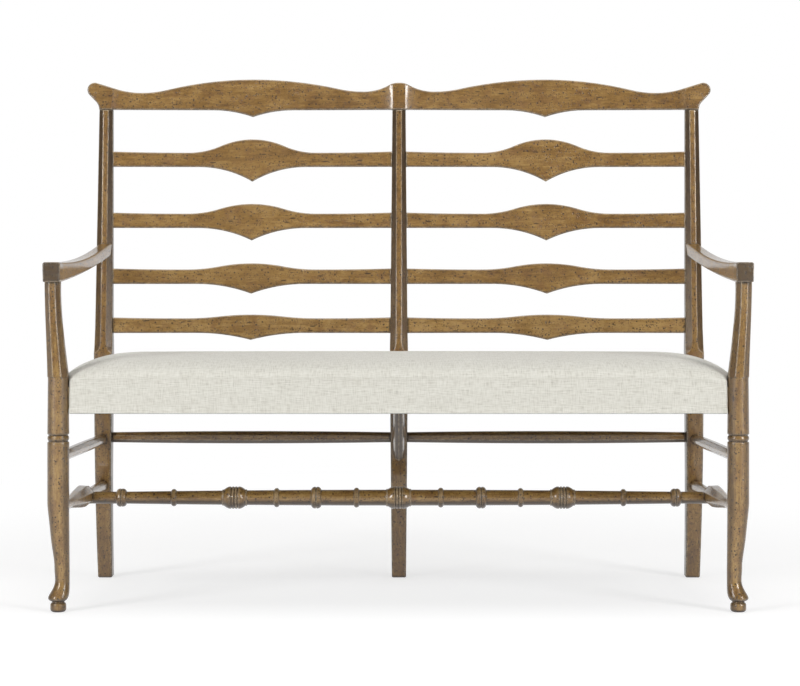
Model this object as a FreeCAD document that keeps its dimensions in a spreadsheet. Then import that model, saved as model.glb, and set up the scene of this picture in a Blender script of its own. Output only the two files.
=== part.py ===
import FreeCAD, Part
import math
import os
import Sketcher

# Ladder back bench: turned front posts that carry open arms, three raked rear posts,
# a yoke shaped crest rail, four shaped slats on each side, octagonal and turned
# stretchers, and a tight upholstered seat on its own rails.
# Frame: millimetres, +Z up, +X to the sitter's left, +Y to the back.
# The origin is on the floor, under the middle of the whole bench.

Vector = FreeCAD.Vector
doc = FreeCAD.newDocument("ladder_back_bench")
sheet = doc.addObject("Spreadsheet::Sheet", "dim")

SIZES = (
    # Where the posts stand
    ("front_post_x", 656.5),
    ("front_post_y", -276.1),
    ("seat_depth", 460),
    ("rear_post_x", 626.4),
    ("rear_post_splay", 4.8),
    # Turned front post
    ("column_radius", 21.1),
    ("column_top", 453),
    ("column_top_radius", 20),
    ("leg_top", 215),
    ("knee_height", 196),
    ("knee_radius", 20.6),
    ("calf_height", 170),
    ("calf_radius", 19.3),
    ("shin_height", 119),
    ("shin_radius", 16.5),
    ("hock_height", 90),
    ("hock_radius", 14.8),
    ("ankle_height", 64),
    ("ankle_radius", 14.2),
    ("instep_height", 43),
    ("instep_radius", 16.4),
    ("pad_height", 28.5),
    ("pad_radius", 19.3),
    ("neck_height", 20.5),
    ("neck_radius", 12.9),
    ("bun_height", 19),
    ("bun_radius", 15.4),
    ("bun_rounding", 6),
    ("ring_height", 335.2),
    ("ring_width", 12.6),
    ("ring_radius", 20.8),
    ("groove_rounding", 3.4),
    # Octagonal arm support above the column
    ("support_top", 637),
    ("support_foot_half", 19.8),
    ("support_knee_height", 524),
    ("support_knee_half", 16.8),
    ("support_knee_out", 5.5),
    ("support_waist_height", 590),
    ("support_waist_half", 15.2),
    ("support_waist_out", 9.6),
    ("support_top_half", 15.2),
    ("support_top_out", 10.5),
    ("support_tenon_radius", 9),
    ("support_tenon_length", 22),
    # Arm
    ("arm_front_overhang", 22),
    ("arm_height", 38),
    ("arm_width_top", 33.6),
    ("arm_width_bottom", 31.7),
    ("arm_rounding", 5),
    ("arm_lower_rounding", 2),
    ("arm_rear_top", 712),
    ("arm_rear_height", 25),
    ("arm_rear_width", 28),
    ("arm_rear_x", 627),
    ("arm_top_sag", 12.1),
    ("arm_bottom_sag", 5.3),
    ("arm_front_flat", 18),
    ("arm_tenon_width", 12),
    ("arm_tenon_height", 14),
    ("arm_tenon_depth", 16),
    # Rear posts
    ("foot_kick", 35),
    ("leg_straight_height", 300),
    ("rake_start", 480),
    ("rake_angle", 8.7),
    ("post_top", 1000),
    ("foot_width", 30.4),
    ("foot_depth", 32),
    ("foot_easing", 2),
    ("seat_width_at_post", 38.6),
    ("seat_depth_at_post", 40),
    ("waist_height", 580),
    ("waist_width", 35.6),
    ("waist_depth", 33),
    ("post_top_width", 28.6),
    ("post_top_depth", 26),
    ("post_corner", 1.6),
    ("post_face_flat", 11),
    ("post_chamfer_depth", 8),
    ("lambs_tongue_height", 26),
    ("crest_tenon_width", 14),
    ("crest_tenon_depth", 10),
    ("crest_tenon_length", 20),
    # Crest rail
    ("crest_bottom", 1000.6),
    ("crest_low", 39.7),
    ("crest_outer_drop", 2.8),
    ("crest_hump", 27),
    ("crest_hump_half", 240),
    ("crest_hump_share", 0.775),
    ("yoke_rise", 18.8),
    ("yoke_share", 0.76),
    ("yoke_flat", 3),
    ("crest_point_drop", 14.9),
    ("crest_point_half", 86),
    ("ear_reach", 671.4),
    ("ear_radius", 15.5),
    ("ear_top", 58.5),
    ("ear_slope", 17.2),
    ("ear_throat_radius", 24),
    ("crest_face_forward", 14),
    ("crest_face_flat", 13),
    ("crest_scoop_half", 40),
    ("crest_scoop_depth", 7),
    ("crest_bow", 13),
    ("crest_back", 13),
    ("crest_back_bow", 12),
    ("edge_rounding", 2.2),
    # Slats
    ("slat_height", 30.8),
    ("slat_thickness", 16),
    ("slat_bow", 12),
    ("slat_rounding", 1.8),
    ("slat_end_rise", 2.6),
    ("slat_dip_half", 160),
    ("slat_hump_half", 137),
    ("slat_hump_share", 0.5),
    ("slat_point_half", 115),
    ("slat_one_bottom", 877),
    ("slat_one_rise", 29),
    ("slat_one_drop", 31.6),
    ("slat_two_bottom", 745.5),
    ("slat_two_rise", 21),
    ("slat_two_drop", 26.6),
    ("slat_three_bottom", 625.9),
    ("slat_three_rise", 13.1),
    ("slat_three_drop", 20.7),
    ("slat_four_bottom", 521.9),
    ("slat_four_rise", 7.8),
    ("slat_four_drop", 14.8),
    ("slat_tenon_thickness", 8),
    ("slat_tenon_height", 22),
    ("slat_tenon_depth", 12),
    # Stretchers
    ("rear_stretcher_height", 301),
    ("rear_stretcher_end_half", 10.2),
    ("rear_stretcher_mid_half", 12.9),
    ("upper_stretcher_height", 297.8),
    ("upper_stretcher_end_half", 9.3),
    ("upper_stretcher_mid_half", 10.9),
    ("lower_stretcher_height", 199.3),
    ("lower_stretcher_neck_half", 9),
    ("lower_stretcher_bulge_half", 20.6),
    ("lower_stretcher_waist_half", 8.6),
    ("lower_stretcher_tail_half", 11.5),
    ("bulge_place", 240),
    ("bulge_front_length", 175),
    ("bulge_rear_length", 62),
    ("medial_height", 195.3),
    ("medial_end_radius", 12.2),
    ("medial_mid_radius", 16.2),
    ("medial_taper_end", 564),
    ("thin_ring_width", 11),
    ("thin_ring_proud", 4.1),
    ("double_ring_width", 21),
    ("double_ring_proud", 6),
    ("double_ring_groove", 1.6),
    ("double_ring_groove_depth", 1.8),
    ("bulb_length", 51),
    ("bulb_radius", 22.6),
    ("bulb_bead", 3.5),
    ("bulb_level_half", 11),
    ("bulb_groove_pitch", 6.1),
    ("bulb_groove_width", 2.4),
    ("bulb_groove_depth", 1.6),
    ("first_thin_ring", 85.6),
    ("inner_double_ring", 167.3),
    ("second_thin_ring", 247.6),
    ("outer_bulb", 332.9),
    ("third_thin_ring", 456.3),
    ("outer_double_ring", 562.5),
    ("dowel_radius", 6.5),
    ("dowel_depth", 12),
    ("fit_clearance", 0.15),
    # Knee brace from the centre rear post to the seat's centre rail
    ("brace_half", 10.6),
    ("brace_post_height", 268),
    ("brace_angle", 45),
    # Seat frame
    ("seat_bottom", 383.4),
    ("rail_bottom", 386),
    ("rail_height", 48),
    ("rail_thickness", 24),
    ("rail_setback", 8),
    ("centre_rail_width", 32),
    ("rail_tenon_thickness", 9),
    ("rail_tenon_height", 18),
    ("rail_tenon_depth", 13),
    ("rail_tenon_inset", 5),
    ("side_tenon_out", 7),
    ("block_leg", 62),
    ("block_tip", 8),
    ("block_height", 36),
    ("block_drop", 6),
    ("screw_radius", 2.2),
    ("screw_head_radius", 4.2),
    ("screw_head_height", 3),
    ("screw_length", 38),
    ("screw_bite", 21),
    ("screw_inset", 24),
    ("screw_low", 10),
    ("screw_high", 25),
    # Webbing
    ("web_width", 50),
    ("web_thickness", 1.4),
    ("web_lap", 20),
    ("cross_web_spacing", 96),
    ("long_web_spacing", 110),
    # Upholstery
    ("seat_half_width", 652),
    ("seat_front_reach", 12),
    ("seat_rear_reach", 16),
    ("seat_crown", 492.8),
    ("seat_edge_drop", 1.5),
    ("side_shoulder_width", 130),
    ("side_shoulder_drop", 45),
    ("face_share", 0.68),
    ("front_roll", 38),
    ("front_roll_drop", 10),
    ("rear_roll_drop", 8),
    ("roll_ease", 0.29),
    ("roll_fall", 0.174),
    ("seat_draw_in", 3),
    ("cover_thickness", 1.5),
    ("soft_clearance", 0.3),
    ("cover_turn_under", 26),
    ("dust_cover_thickness", 0.9),
    ("dust_cover_inset", 12),
    ("dust_cover_gap", 1),
)

for row, (alias, value) in enumerate(SIZES, start=1):
    sheet.set(f"A{row}", alias)
    sheet.set(f"B{row}", str(value))
    sheet.setAlias(f"B{row}", alias)
doc.recompute()


def size(alias):
    """One driving dimension, read back from the sheet."""
    return float(getattr(sheet, alias))


SIDES = (("left", -1), ("right", 1))
NODES = {}


def node(item, label):
    """Name a finished sub-part."""
    item.Label = label
    NODES[label] = item
    return item


def bind(item, **formulas):
    """Tie properties to cells; a double underscore stands for the dot in a property path."""
    for name, formula in formulas.items():
        item.setExpression(name.replace("__", "."), formula)
    return item


def add(kind, name, **formulas):
    item = doc.addObject(kind, name)
    return bind(item, **formulas)


def box(name, length, width, height, x, y, z):
    """A box from its sizes and its lowest corner, each a formula."""
    return add("Part::Box", name, Length=length, Width=width, Height=height,
               Placement__Base__x=x, Placement__Base__y=y, Placement__Base__z=z)


def fuse(name, pieces):
    item = doc.addObject("Part::MultiFuse", name)
    item.Shapes = pieces
    return item


def cut(name, base, tools):
    """The base less one tool, or less several joined tools."""
    item = doc.addObject("Part::Cut", name)
    item.Base = base
    item.Tool = tools[0] if len(tools) == 1 else fuse(name + "_tools", tools)
    return item


def common(name, first, second):
    item = doc.addObject("Part::Common", name)
    item.Base = first
    item.Tool = second
    return item


def mirror(name, source):
    """The same piece on the other side of the bench's middle plane."""
    item = doc.addObject("Part::Mirroring", name)
    item.Source = source
    item.Normal = Vector(1, 0, 0)
    return item


def loft(name, sections, ruled=False):
    item = doc.addObject("Part::Loft", name)
    item.Sections = sections
    item.Solid = True
    item.Ruled = ruled
    return item


def profile(name, points):
    """A closed outline of straight edges, as a section for a loft."""
    item = doc.addObject("Part::Feature", name)
    item.Shape = Part.makePolygon(list(points) + [points[0]])
    return item


def cylinder(name, radius, height, x, y, z, axis=Vector(0, 0, 1), turn=0):
    """A round bar from its foot, with its axis turned from vertical about the given line."""
    item = add("Part::Cylinder", name, Radius=radius, Height=height)
    item.Placement = FreeCAD.Placement(Vector(), FreeCAD.Rotation(axis, turn))
    return bind(item, Placement__Base__x=x, Placement__Base__y=y, Placement__Base__z=z)


# Outlines drawn as sketches

FRONT = FreeCAD.Placement(Vector(), FreeCAD.Rotation(Vector(1, 0, 0), 90))


def line(start, end):
    return Part.LineSegment(Vector(*start, 0), Vector(*end, 0))


def arc(start, via, end):
    return Part.Arc(Vector(*start, 0), Vector(*via, 0), Vector(*end, 0))


def arc_about(centre, radius, first, last):
    """The arc of a circle between two angles in degrees."""
    def at(angle):
        turn = math.radians(angle)
        return (centre[0] + radius * math.cos(turn), centre[1] + radius * math.sin(turn))
    return arc(at(first), at((first + last) / 2), at(last))


def ends(edge):
    return (edge.StartPoint, edge.EndPoint)


def ogee(start, end, share):
    """Two tangent arcs between level ends; share is the first arc's part of the run."""
    run = end[0] - start[0]
    rise = end[1] - start[1]
    turn = 2 * math.atan(abs(rise / run))
    whole = (run * run + rise * rise) / (2 * abs(rise))
    side = math.copysign(1, run)
    lift = math.copysign(1, rise)

    def first(angle):
        reach = share * whole
        return (start[0] + side * reach * math.sin(angle),
                start[1] + lift * reach * (1 - math.cos(angle)))

    def second(angle):
        reach = (1 - share) * whole
        return (end[0] - side * reach * math.sin(angle),
                end[1] - lift * reach * (1 - math.cos(angle)))
    middle = first(turn)
    return [arc(start, first(turn / 2), middle), arc(middle, second(turn / 2), end)]


def mirrored(edges):
    """The same edges across the sketch's vertical axis, in running order."""
    flipped = []
    for edge in reversed(edges):
        first, last = ends(edge)
        if isinstance(edge, Part.LineSegment):
            flipped.append(line((-last.x, last.y), (-first.x, first.y)))
        else:
            middle = edge.value((edge.FirstParameter + edge.LastParameter) / 2)
            flipped.append(arc((-last.x, last.y), (-middle.x, middle.y), (-first.x, first.y)))
    return flipped


def sketch(name, plane, edges, dimensions=()):
    """A closed outline; each dimension ties one edge's first end to a formula."""
    item = doc.addObject("Sketcher::SketchObject", name)
    item.Placement = plane
    corners = []
    for number, edge in enumerate(edges):
        item.addGeometry(edge, False)
        start = ends(edge)[0]
        near_first = (item.getPoint(number, 1) - start).Length < 1e-6
        corners.append((1, 2) if near_first else (2, 1))
    for number in range(len(edges)):
        following = (number + 1) % len(edges)
        item.addConstraint(Sketcher.Constraint(
            "Coincident", number, corners[number][1], following, corners[following][0]))
    for label, kind, number, formula in dimensions:
        start = ends(edges[number])[0]
        value = start.x if kind == "DistanceX" else start.y
        place = item.addConstraint(Sketcher.Constraint(
            kind, -1, 1, number, corners[number][0], value))
        item.renameConstraint(place, label)
        item.setExpression("Constraints." + label, formula)
    return item


def extrude(name, base, direction, forward, backward):
    """A solid from a sketch, pushed both ways along a direction."""
    item = doc.addObject("Part::Extrusion", name)
    item.Base = base
    item.DirMode = "Custom"
    item.Dir = direction
    item.Solid = True
    item.LengthFwd = forward
    item.LengthRev = backward
    return item


def faces_view(face):
    """Whether a face looks mainly to the front or the back."""
    u_low, u_high, v_low, v_high = face.ParameterRange
    return abs(face.normalAt((u_low + u_high) / 2, (v_low + v_high) / 2).y) > 0.6


def outline_edges(shape):
    """Numbers of the edges between a board's broad faces and its narrow ones."""
    touching = {}
    for face in shape.Faces:
        for edge in face.Edges:
            touching.setdefault(edge.hashCode(), []).append(faces_view(face))
    return [number for number, edge in enumerate(shape.Edges, start=1)
            if sorted(touching[edge.hashCode()]) == [False, True]]


def rounded(name, base, radius, pick):
    """Round the edges of a solid whose numbers the pick function gives."""
    doc.recompute()
    item = doc.addObject("Part::Fillet", name)
    item.Base = base
    item.Edges = [(number, radius, radius) for number in pick(base.Shape)]
    return item


# Front posts: bun foot, pad, leg, ringed column and octagonal arm support in one piece

def leg_circle(name, height, radius, side):
    """The leg narrows towards its inner back edge, which stays straight."""
    offset = f"(dim.column_radius - {radius})"
    return add("Part::Circle", name, Radius=radius,
               Placement__Base__x=f"{side} * (dim.front_post_x - {offset})",
               Placement__Base__y=f"dim.front_post_y + {offset}",
               Placement__Base__z=height)


def centred_circle(name, height, radius, side):
    return add("Part::Circle", name, Radius=radius,
               Placement__Base__x=f"{side} * dim.front_post_x",
               Placement__Base__y="dim.front_post_y",
               Placement__Base__z=height)


def column_outline():
    """Half of the turned column's section, with the ring and its two grooves."""
    radius = size("column_radius")
    low = size("ring_height") - size("ring_width") / 2
    high = size("ring_height") + size("ring_width") / 2
    soft = size("groove_rounding")
    top = size("column_top")
    lower_lip = (radius, low - soft)
    upper_lip = (radius, high + soft)
    bend = soft * math.sqrt(0.5)
    edges = [
        line((0, size("leg_top")), (radius, size("leg_top"))),
        line((radius, size("leg_top")), lower_lip),
        arc(lower_lip, (radius - soft + bend, low - soft + bend), (radius - soft, low)),
        arc((radius - soft, low), (size("ring_radius"), size("ring_height")), (radius - soft, high)),
        arc((radius - soft, high), (radius - soft + bend, high + soft - bend), upper_lip),
        line(upper_lip, (size("column_top_radius"), top)),
        line((size("column_top_radius"), top), (0, top)),
        line((0, top), (0, size("leg_top"))),
    ]
    return edges


def octagon(name, half, x, y, z, turn=22.5, axis=Vector(0, 0, 1)):
    """A regular octagon by its half width across the flats."""
    item = add("Part::RegularPolygon", name, Circumradius=f"({half}) / cos(22.5 deg)")
    item.Polygon = 8
    flat = FreeCAD.Rotation(Vector(0, 0, 1), 22.5)
    item.Placement = FreeCAD.Placement(Vector(), FreeCAD.Rotation(axis, turn - 22.5) * flat)
    return bind(item, Placement__Base__x=x, Placement__Base__y=y, Placement__Base__z=z)


def support_pin(name, side, grow):
    """The front post's round tenon, or with grow 1 its bore in the arm."""
    spare = f"{grow} * dim.fit_clearance"
    return cylinder(name, f"dim.support_tenon_radius + {spare}",
                    f"dim.support_tenon_length + {spare} + dim.rail_tenon_depth",
                    f"{side} * (dim.front_post_x + dim.support_top_out)", "dim.front_post_y",
                    "dim.support_top - dim.rail_tenon_depth")


def closed_edges(shape):
    return [number for number, edge in enumerate(shape.Edges, start=1) if edge.Closed]


def front_post(label, side):
    name = f"front_post_{label}"
    circles = [
        centred_circle(name + "_neck", "dim.neck_height", "dim.neck_radius", side),
        centred_circle(name + "_pad", "dim.pad_height", "dim.pad_radius", side),
        leg_circle(name + "_instep", "dim.instep_height", "dim.instep_radius", side),
        leg_circle(name + "_ankle", "dim.ankle_height", "dim.ankle_radius", side),
        leg_circle(name + "_hock", "dim.hock_height", "dim.hock_radius", side),
        leg_circle(name + "_shin", "dim.shin_height", "dim.shin_radius", side),
        leg_circle(name + "_calf", "dim.calf_height", "dim.calf_radius", side),
        leg_circle(name + "_knee", "dim.knee_height", "dim.knee_radius", side),
        leg_circle(name + "_leg_top", "dim.leg_top", "dim.column_radius", side),
    ]
    leg = loft(name + "_leg", circles)
    outline = sketch(name + "_outline", FRONT, column_outline(), (
        ("column_radius", "DistanceX", 1, "dim.column_radius"),
        ("column_foot", "DistanceY", 1, "dim.leg_top"),
        ("column_top", "DistanceY", 6, "dim.column_top"),
    ))
    turned = doc.addObject("Part::Revolution", name + "_column")
    turned.Source = outline
    turned.Axis = Vector(0, 0, 1)
    turned.Base = Vector(0, 0, 0)
    turned.Angle = 360
    turned.Solid = True
    bind(turned, Placement__Base__x=f"{side} * dim.front_post_x",
         Placement__Base__y="dim.front_post_y")
    bun_post = cylinder(name + "_bun_block", "dim.bun_radius", "dim.bun_height",
                        f"{side} * dim.front_post_x", "dim.front_post_y", "0")
    bun = rounded(name + "_bun", bun_post, size("bun_rounding"), closed_edges)
    neck = cylinder(name + "_neck_pin", "dim.neck_radius - 1", "dim.neck_height",
                    f"{side} * dim.front_post_x", "dim.front_post_y", "1")
    steps = (
        ("foot", "dim.support_foot_half", "0", "dim.column_top"),
        ("knee", "dim.support_knee_half", "dim.support_knee_out", "dim.support_knee_height"),
        ("waist", "dim.support_waist_half", "dim.support_waist_out", "dim.support_waist_height"),
        ("top", "dim.support_top_half", "dim.support_top_out", "dim.support_top"),
    )
    support = loft(name + "_support", [
        octagon(f"{name}_{step}", half, f"{side} * (dim.front_post_x + {out})",
                "dim.front_post_y", height)
        for step, half, out, height in steps])
    return fuse(name + "_blank", [leg, turned, bun, neck, support])


front_blanks = {label: front_post(label, side) for label, side in SIDES}


# Rear posts: one piece from the floor to the crest rail

RAKE = math.tan(math.radians(size("rake_angle")))
REAR_Y = size("front_post_y") + size("seat_depth")


def rear_axis_y(height):
    """Kicked back at the foot, upright at the seat, raked above it."""
    straight = size("leg_straight_height")
    if height < straight:
        return REAR_Y + size("foot_kick") * (1 - height / straight) ** 2
    return REAR_Y + max(0, height - size("rake_start")) * RAKE


def between(height, stops):
    """Straight interpolation between (height, value) stops."""
    for (low, first), (high, last) in zip(stops, stops[1:]):
        if height <= high:
            return first + (last - first) * (height - low) / (high - low)
    return stops[-1][1]


def post_width(height):
    tongue_top = size("rake_start") + size("lambs_tongue_height")
    return between(height, (
        (0, size("foot_width")),
        (size("rake_start"), size("seat_width_at_post")),
        (tongue_top, 0.7 * size("seat_width_at_post") + 0.3 * size("waist_width")),
        (tongue_top + size("lambs_tongue_height"),
         0.2 * size("seat_width_at_post") + 0.8 * size("waist_width")),
        (size("waist_height"), size("waist_width")),
        (size("post_top"), size("post_top_width"))))


def post_depth(height):
    return between(height, (
        (0, size("foot_depth")),
        (size("leg_straight_height"), size("seat_depth_at_post")),
        (size("rake_start"), size("seat_depth_at_post")),
        (size("waist_height"), size("waist_depth")),
        (size("post_top"), size("post_top_depth"))))


def post_centre_x(height, lean):
    """The outer posts lean out a little above the seat."""
    rise = max(0, height - size("rake_start")) / (size("post_top") - size("rake_start"))
    return lean * (size("rear_post_x") + size("rear_post_splay") * rise)


def post_section(name, height, lean, share, easing=0):
    """One level section: share 0 has eased corners, share 1 the full front chamfers."""
    half = post_width(height) / 2 - easing
    deep = post_depth(height) / 2 - easing
    corner = size("post_corner")
    across = corner + share * (half - size("post_face_flat") / 2 - corner)
    along = corner + share * (size("post_chamfer_depth") - corner)
    x = post_centre_x(height, lean)
    y = rear_axis_y(height)
    outline = ((half - across, -deep), (half, along - deep), (half, deep - corner),
               (half - corner, deep), (corner - half, deep), (-half, deep - corner),
               (-half, along - deep), (across - half, -deep))
    return profile(name, [Vector(x + dx, y + dy, height) for dx, dy in outline])


def rear_post(label, lean):
    name = f"rear_post_{label}"
    start = size("rake_start")
    tongue = size("lambs_tongue_height")
    easing = size("foot_easing")
    foot = loft(name + "_foot", [
        post_section(name + "_sole", 0, lean, 0, easing),
        post_section(name + "_sole_edge", easing, lean, 0)], True)
    leg_heights = [easing] + [size("leg_straight_height") * part / 3 for part in (1, 2, 3)]
    leg = loft(name + "_leg", [
        post_section(f"{name}_leg_{number}", height, lean, 0)
        for number, height in enumerate(leg_heights)])
    block = loft(name + "_block", [
        post_section(f"{name}_block_{number}", height, lean, 0)
        for number, height in enumerate((leg_heights[-1], start))], True)
    shares = [number / 4 for number in range(5)]
    run_out = loft(name + "_lambs_tongue", [
        post_section(f"{name}_tongue_{number}", start + tongue * share, lean,
                     math.sqrt(1 - (1 - share) ** 2))
        for number, share in enumerate(shares)], True)
    upper = [start + tongue, start + 2 * tongue, size("waist_height"), size("post_top")]
    shaft = loft(name + "_shaft", [
        post_section(f"{name}_shaft_{number}", height, lean, 1)
        for number, height in enumerate(upper)], True)
    return fuse(name + "_blank", [foot, leg, block, run_out, shaft])


REAR_POSTS = (("left", -1), ("centre", 0), ("right", 1))
rear_blanks = {label: rear_post(label, lean) for label, lean in REAR_POSTS}


# Crest rail: one board from ear to ear, its outline cut square to the view, its faces raked

POST_SPACING = size("rear_post_x") + size("rear_post_splay")
HALF_BAY = POST_SPACING / 2


def level_to_point(start, tip):
    """A hollow arc that leaves a level edge and ends in a sharp point."""
    run = tip[0] - start[0]
    drop = tip[1] - start[1]
    reach = (run * run + drop * drop) / (2 * abs(drop))
    part = reach - math.sqrt(reach * reach - run * run / 4)
    return arc(start, (start[0] + run / 2, start[1] + math.copysign(part, drop)), tip)


def point_to_level(tip, end):
    back = level_to_point(end, tip)
    middle = back.value((back.FirstParameter + back.LastParameter) / 2)
    return arc(tip, (middle.x, middle.y), end)


def crest_outline():
    """Half of the front outline, from the middle of the bottom edge to the middle of the top."""
    bottom = size("crest_bottom")
    low = bottom + size("crest_low")
    peak = low + size("crest_hump")
    yoke = low + size("yoke_rise")
    outer = POST_SPACING + size("post_top_width") / 2
    point_half = size("crest_point_half")
    tip = (HALF_BAY, bottom - size("crest_point_drop"))
    nose_radius = size("ear_radius")
    nose = (size("ear_reach") - nose_radius, bottom + size("ear_top") - nose_radius)
    throat_radius = size("ear_throat_radius")
    throat = (outer + throat_radius, bottom)
    away = math.degrees(math.atan2(nose[1] - throat[1], nose[0] - throat[0]))
    distance = math.hypot(nose[0] - throat[0], nose[1] - throat[1])
    touch = away + math.degrees(math.acos((throat_radius + nose_radius) / distance))
    slope = size("ear_slope")
    under = arc_about(throat, throat_radius, 180, touch)
    tip_round = arc_about(nose, nose_radius, touch - 180, 90 + slope)
    crown = ends(tip_round)[1]
    inner_low = (HALF_BAY - size("crest_hump_half"), low)
    outer_low = (HALF_BAY + size("crest_hump_half"), low - size("crest_outer_drop"))
    tangent = (crown.y - outer_low[1]) / math.tan(math.radians(slope))
    corner_run = crown.x - tangent - outer_low[0]
    swell = corner_run / math.tan(math.radians(slope / 2))
    hollow = arc_about((outer_low[0], outer_low[1] + swell), swell, slope - 90, -90)
    rise = ends(hollow)[0]
    top = (HALF_BAY, peak)
    flat = (size("yoke_flat"), yoke)
    return [
        line((0, bottom), (HALF_BAY - point_half, bottom)),
        level_to_point((HALF_BAY - point_half, bottom), tip),
        point_to_level(tip, (HALF_BAY + point_half, bottom)),
        line((HALF_BAY + point_half, bottom), (outer, bottom)),
        under,
        line((ends(under)[1].x, ends(under)[1].y), (ends(tip_round)[0].x, ends(tip_round)[0].y)),
        tip_round,
        line((crown.x, crown.y), (rise.x, rise.y)),
        hollow,
        *ogee(outer_low, top, 1 - size("crest_hump_share")),
        *ogee(top, inner_low, size("crest_hump_share")),
        *ogee(inner_low, flat, size("yoke_share")),
        line(flat, (0, yoke)),
    ]


def crest_plan():
    """Half of the plan: flat faces at the posts, each with a cove that runs into the bow."""
    face = -size("crest_face_forward")
    hollow = face + size("crest_scoop_depth")
    flat = size("crest_face_flat")
    scoop = size("crest_scoop_half")
    back = size("crest_back")
    end = size("ear_reach") + size("ear_radius")
    bow = size("crest_bow")
    run, rise = scoop - flat, hollow - face
    leave = 2 * math.atan(bow / (HALF_BAY - scoop))
    belly = math.tan((math.atan2(rise, run) - leave) / 2) / 2
    via = (flat + run / 2 - rise * belly, face + rise / 2 + run * belly)
    deepest = (HALF_BAY, back + size("crest_back_bow"))
    return [
        line((0, face), (flat, face)),
        arc((flat, face), via, (scoop, hollow)),
        arc((scoop, hollow), (HALF_BAY, hollow + bow), (POST_SPACING - scoop, hollow)),
        arc((POST_SPACING - scoop, hollow), (POST_SPACING - via[0], via[1]),
            (POST_SPACING - flat, face)),
        line((POST_SPACING - flat, face), (end, face)),
        line((end, face), (end, back)),
        line((end, back), (POST_SPACING - flat, back)),
        *ogee((POST_SPACING - flat, back), deepest, 0.5),
        *ogee(deepest, (flat, back), 0.5),
        line((flat, back), (0, back)),
    ]


RAKED = Vector(0, math.sin(math.radians(size("rake_angle"))),
               math.cos(math.radians(size("rake_angle"))))


def raked_band(name, edges, centre_x, height, reach, dimensions=()):
    """A plan outline at one height on the raked post line, drawn out along the rake."""
    plane = FreeCAD.Placement(Vector(centre_x, rear_axis_y(height), height),
                              FreeCAD.Rotation())
    return extrude(name, sketch(name + "_plan", plane, edges, dimensions), RAKED, reach, reach)


def tilted_box(name, length, width, height, centre):
    """A box on the rake about its centre."""
    item = add("Part::Box", name, Length=length, Width=width, Height=height)
    turn = FreeCAD.Rotation(Vector(1, 0, 0), -size("rake_angle"))
    item.recompute()
    corner = Vector(item.Length.Value, item.Width.Value, item.Height.Value) * -0.5
    item.Placement = FreeCAD.Placement(centre + turn.multVec(corner), turn)
    return item


def crest_tenon(name, lean, grow):
    """The tenon on a rear post's top, or with grow 1 the mortise that takes it."""
    spare = f"{grow} * dim.fit_clearance"
    x = f"{lean} * (dim.rear_post_x + dim.rear_post_splay)"
    item = box(name, f"dim.crest_tenon_width + 2 * {spare}", f"dim.crest_tenon_depth + 2 * {spare}",
               f"dim.crest_tenon_length + dim.rail_tenon_depth + {spare}",
               f"{x} - dim.crest_tenon_width / 2 - {spare}",
               f"{rear_axis_y(size('post_top'))} - dim.crest_tenon_depth / 2 - {spare}",
               "dim.post_top - dim.rail_tenon_depth")
    return item


crest_edges = crest_outline()
crest_front = extrude("crest_front", sketch(
    "crest_outline", FRONT, crest_edges + mirrored(crest_edges), (
        ("bottom", "DistanceY", 1, "dim.crest_bottom"),
        ("point", "DistanceY", 2, "dim.crest_bottom - dim.crest_point_drop"),
        ("peak", "DistanceY", 11, "dim.crest_bottom + dim.crest_low + dim.crest_hump"),
    )), Vector(0, -1, 0), size("crest_bottom"), size("crest_bottom"))
plan_edges = crest_plan()
crest_band = raked_band("crest_band", plan_edges + mirrored(plan_edges), 0,
                        size("crest_bottom"), 2 * size("ear_top"))
crest_board = rounded("crest_board", common("crest_blank", crest_front, crest_band),
                      size("edge_rounding"), outline_edges)


# Slats

SLATS = ("one", "two", "three", "four")


def slat_outline(which, reach):
    """The front outline about the slat's own middle: humped above, pointed below."""
    bottom = size(f"slat_{which}_bottom")
    top = bottom + size("slat_height")
    half = size("slat_point_half")
    hump = size("slat_hump_half")
    dip = size("slat_dip_half")
    peak = (0, top + size(f"slat_{which}_rise"))
    tip = (0, bottom - size(f"slat_{which}_drop"))
    end_top = top + size("slat_end_rise")

    def end_curve(side):
        lift = level_to_point((side * dip, top), (side * reach, end_top))
        middle = lift.value((lift.FirstParameter + lift.LastParameter) / 2)
        return (middle.x, middle.y)
    share = size("slat_hump_share")
    return [
        line((-reach, bottom), (-half, bottom)),
        level_to_point((-half, bottom), tip),
        point_to_level(tip, (half, bottom)),
        line((half, bottom), (reach, bottom)),
        line((reach, bottom), (reach, end_top)),
        arc((reach, end_top), end_curve(1), (dip, top)),
        line((dip, top), (hump, top)),
        *ogee((hump, top), peak, 1 - share),
        *ogee(peak, (-hump, top), share),
        line((-hump, top), (-dip, top)),
        arc((-dip, top), end_curve(-1), (-reach, end_top)),
        line((-reach, end_top), (-reach, bottom)),
    ]


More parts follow.
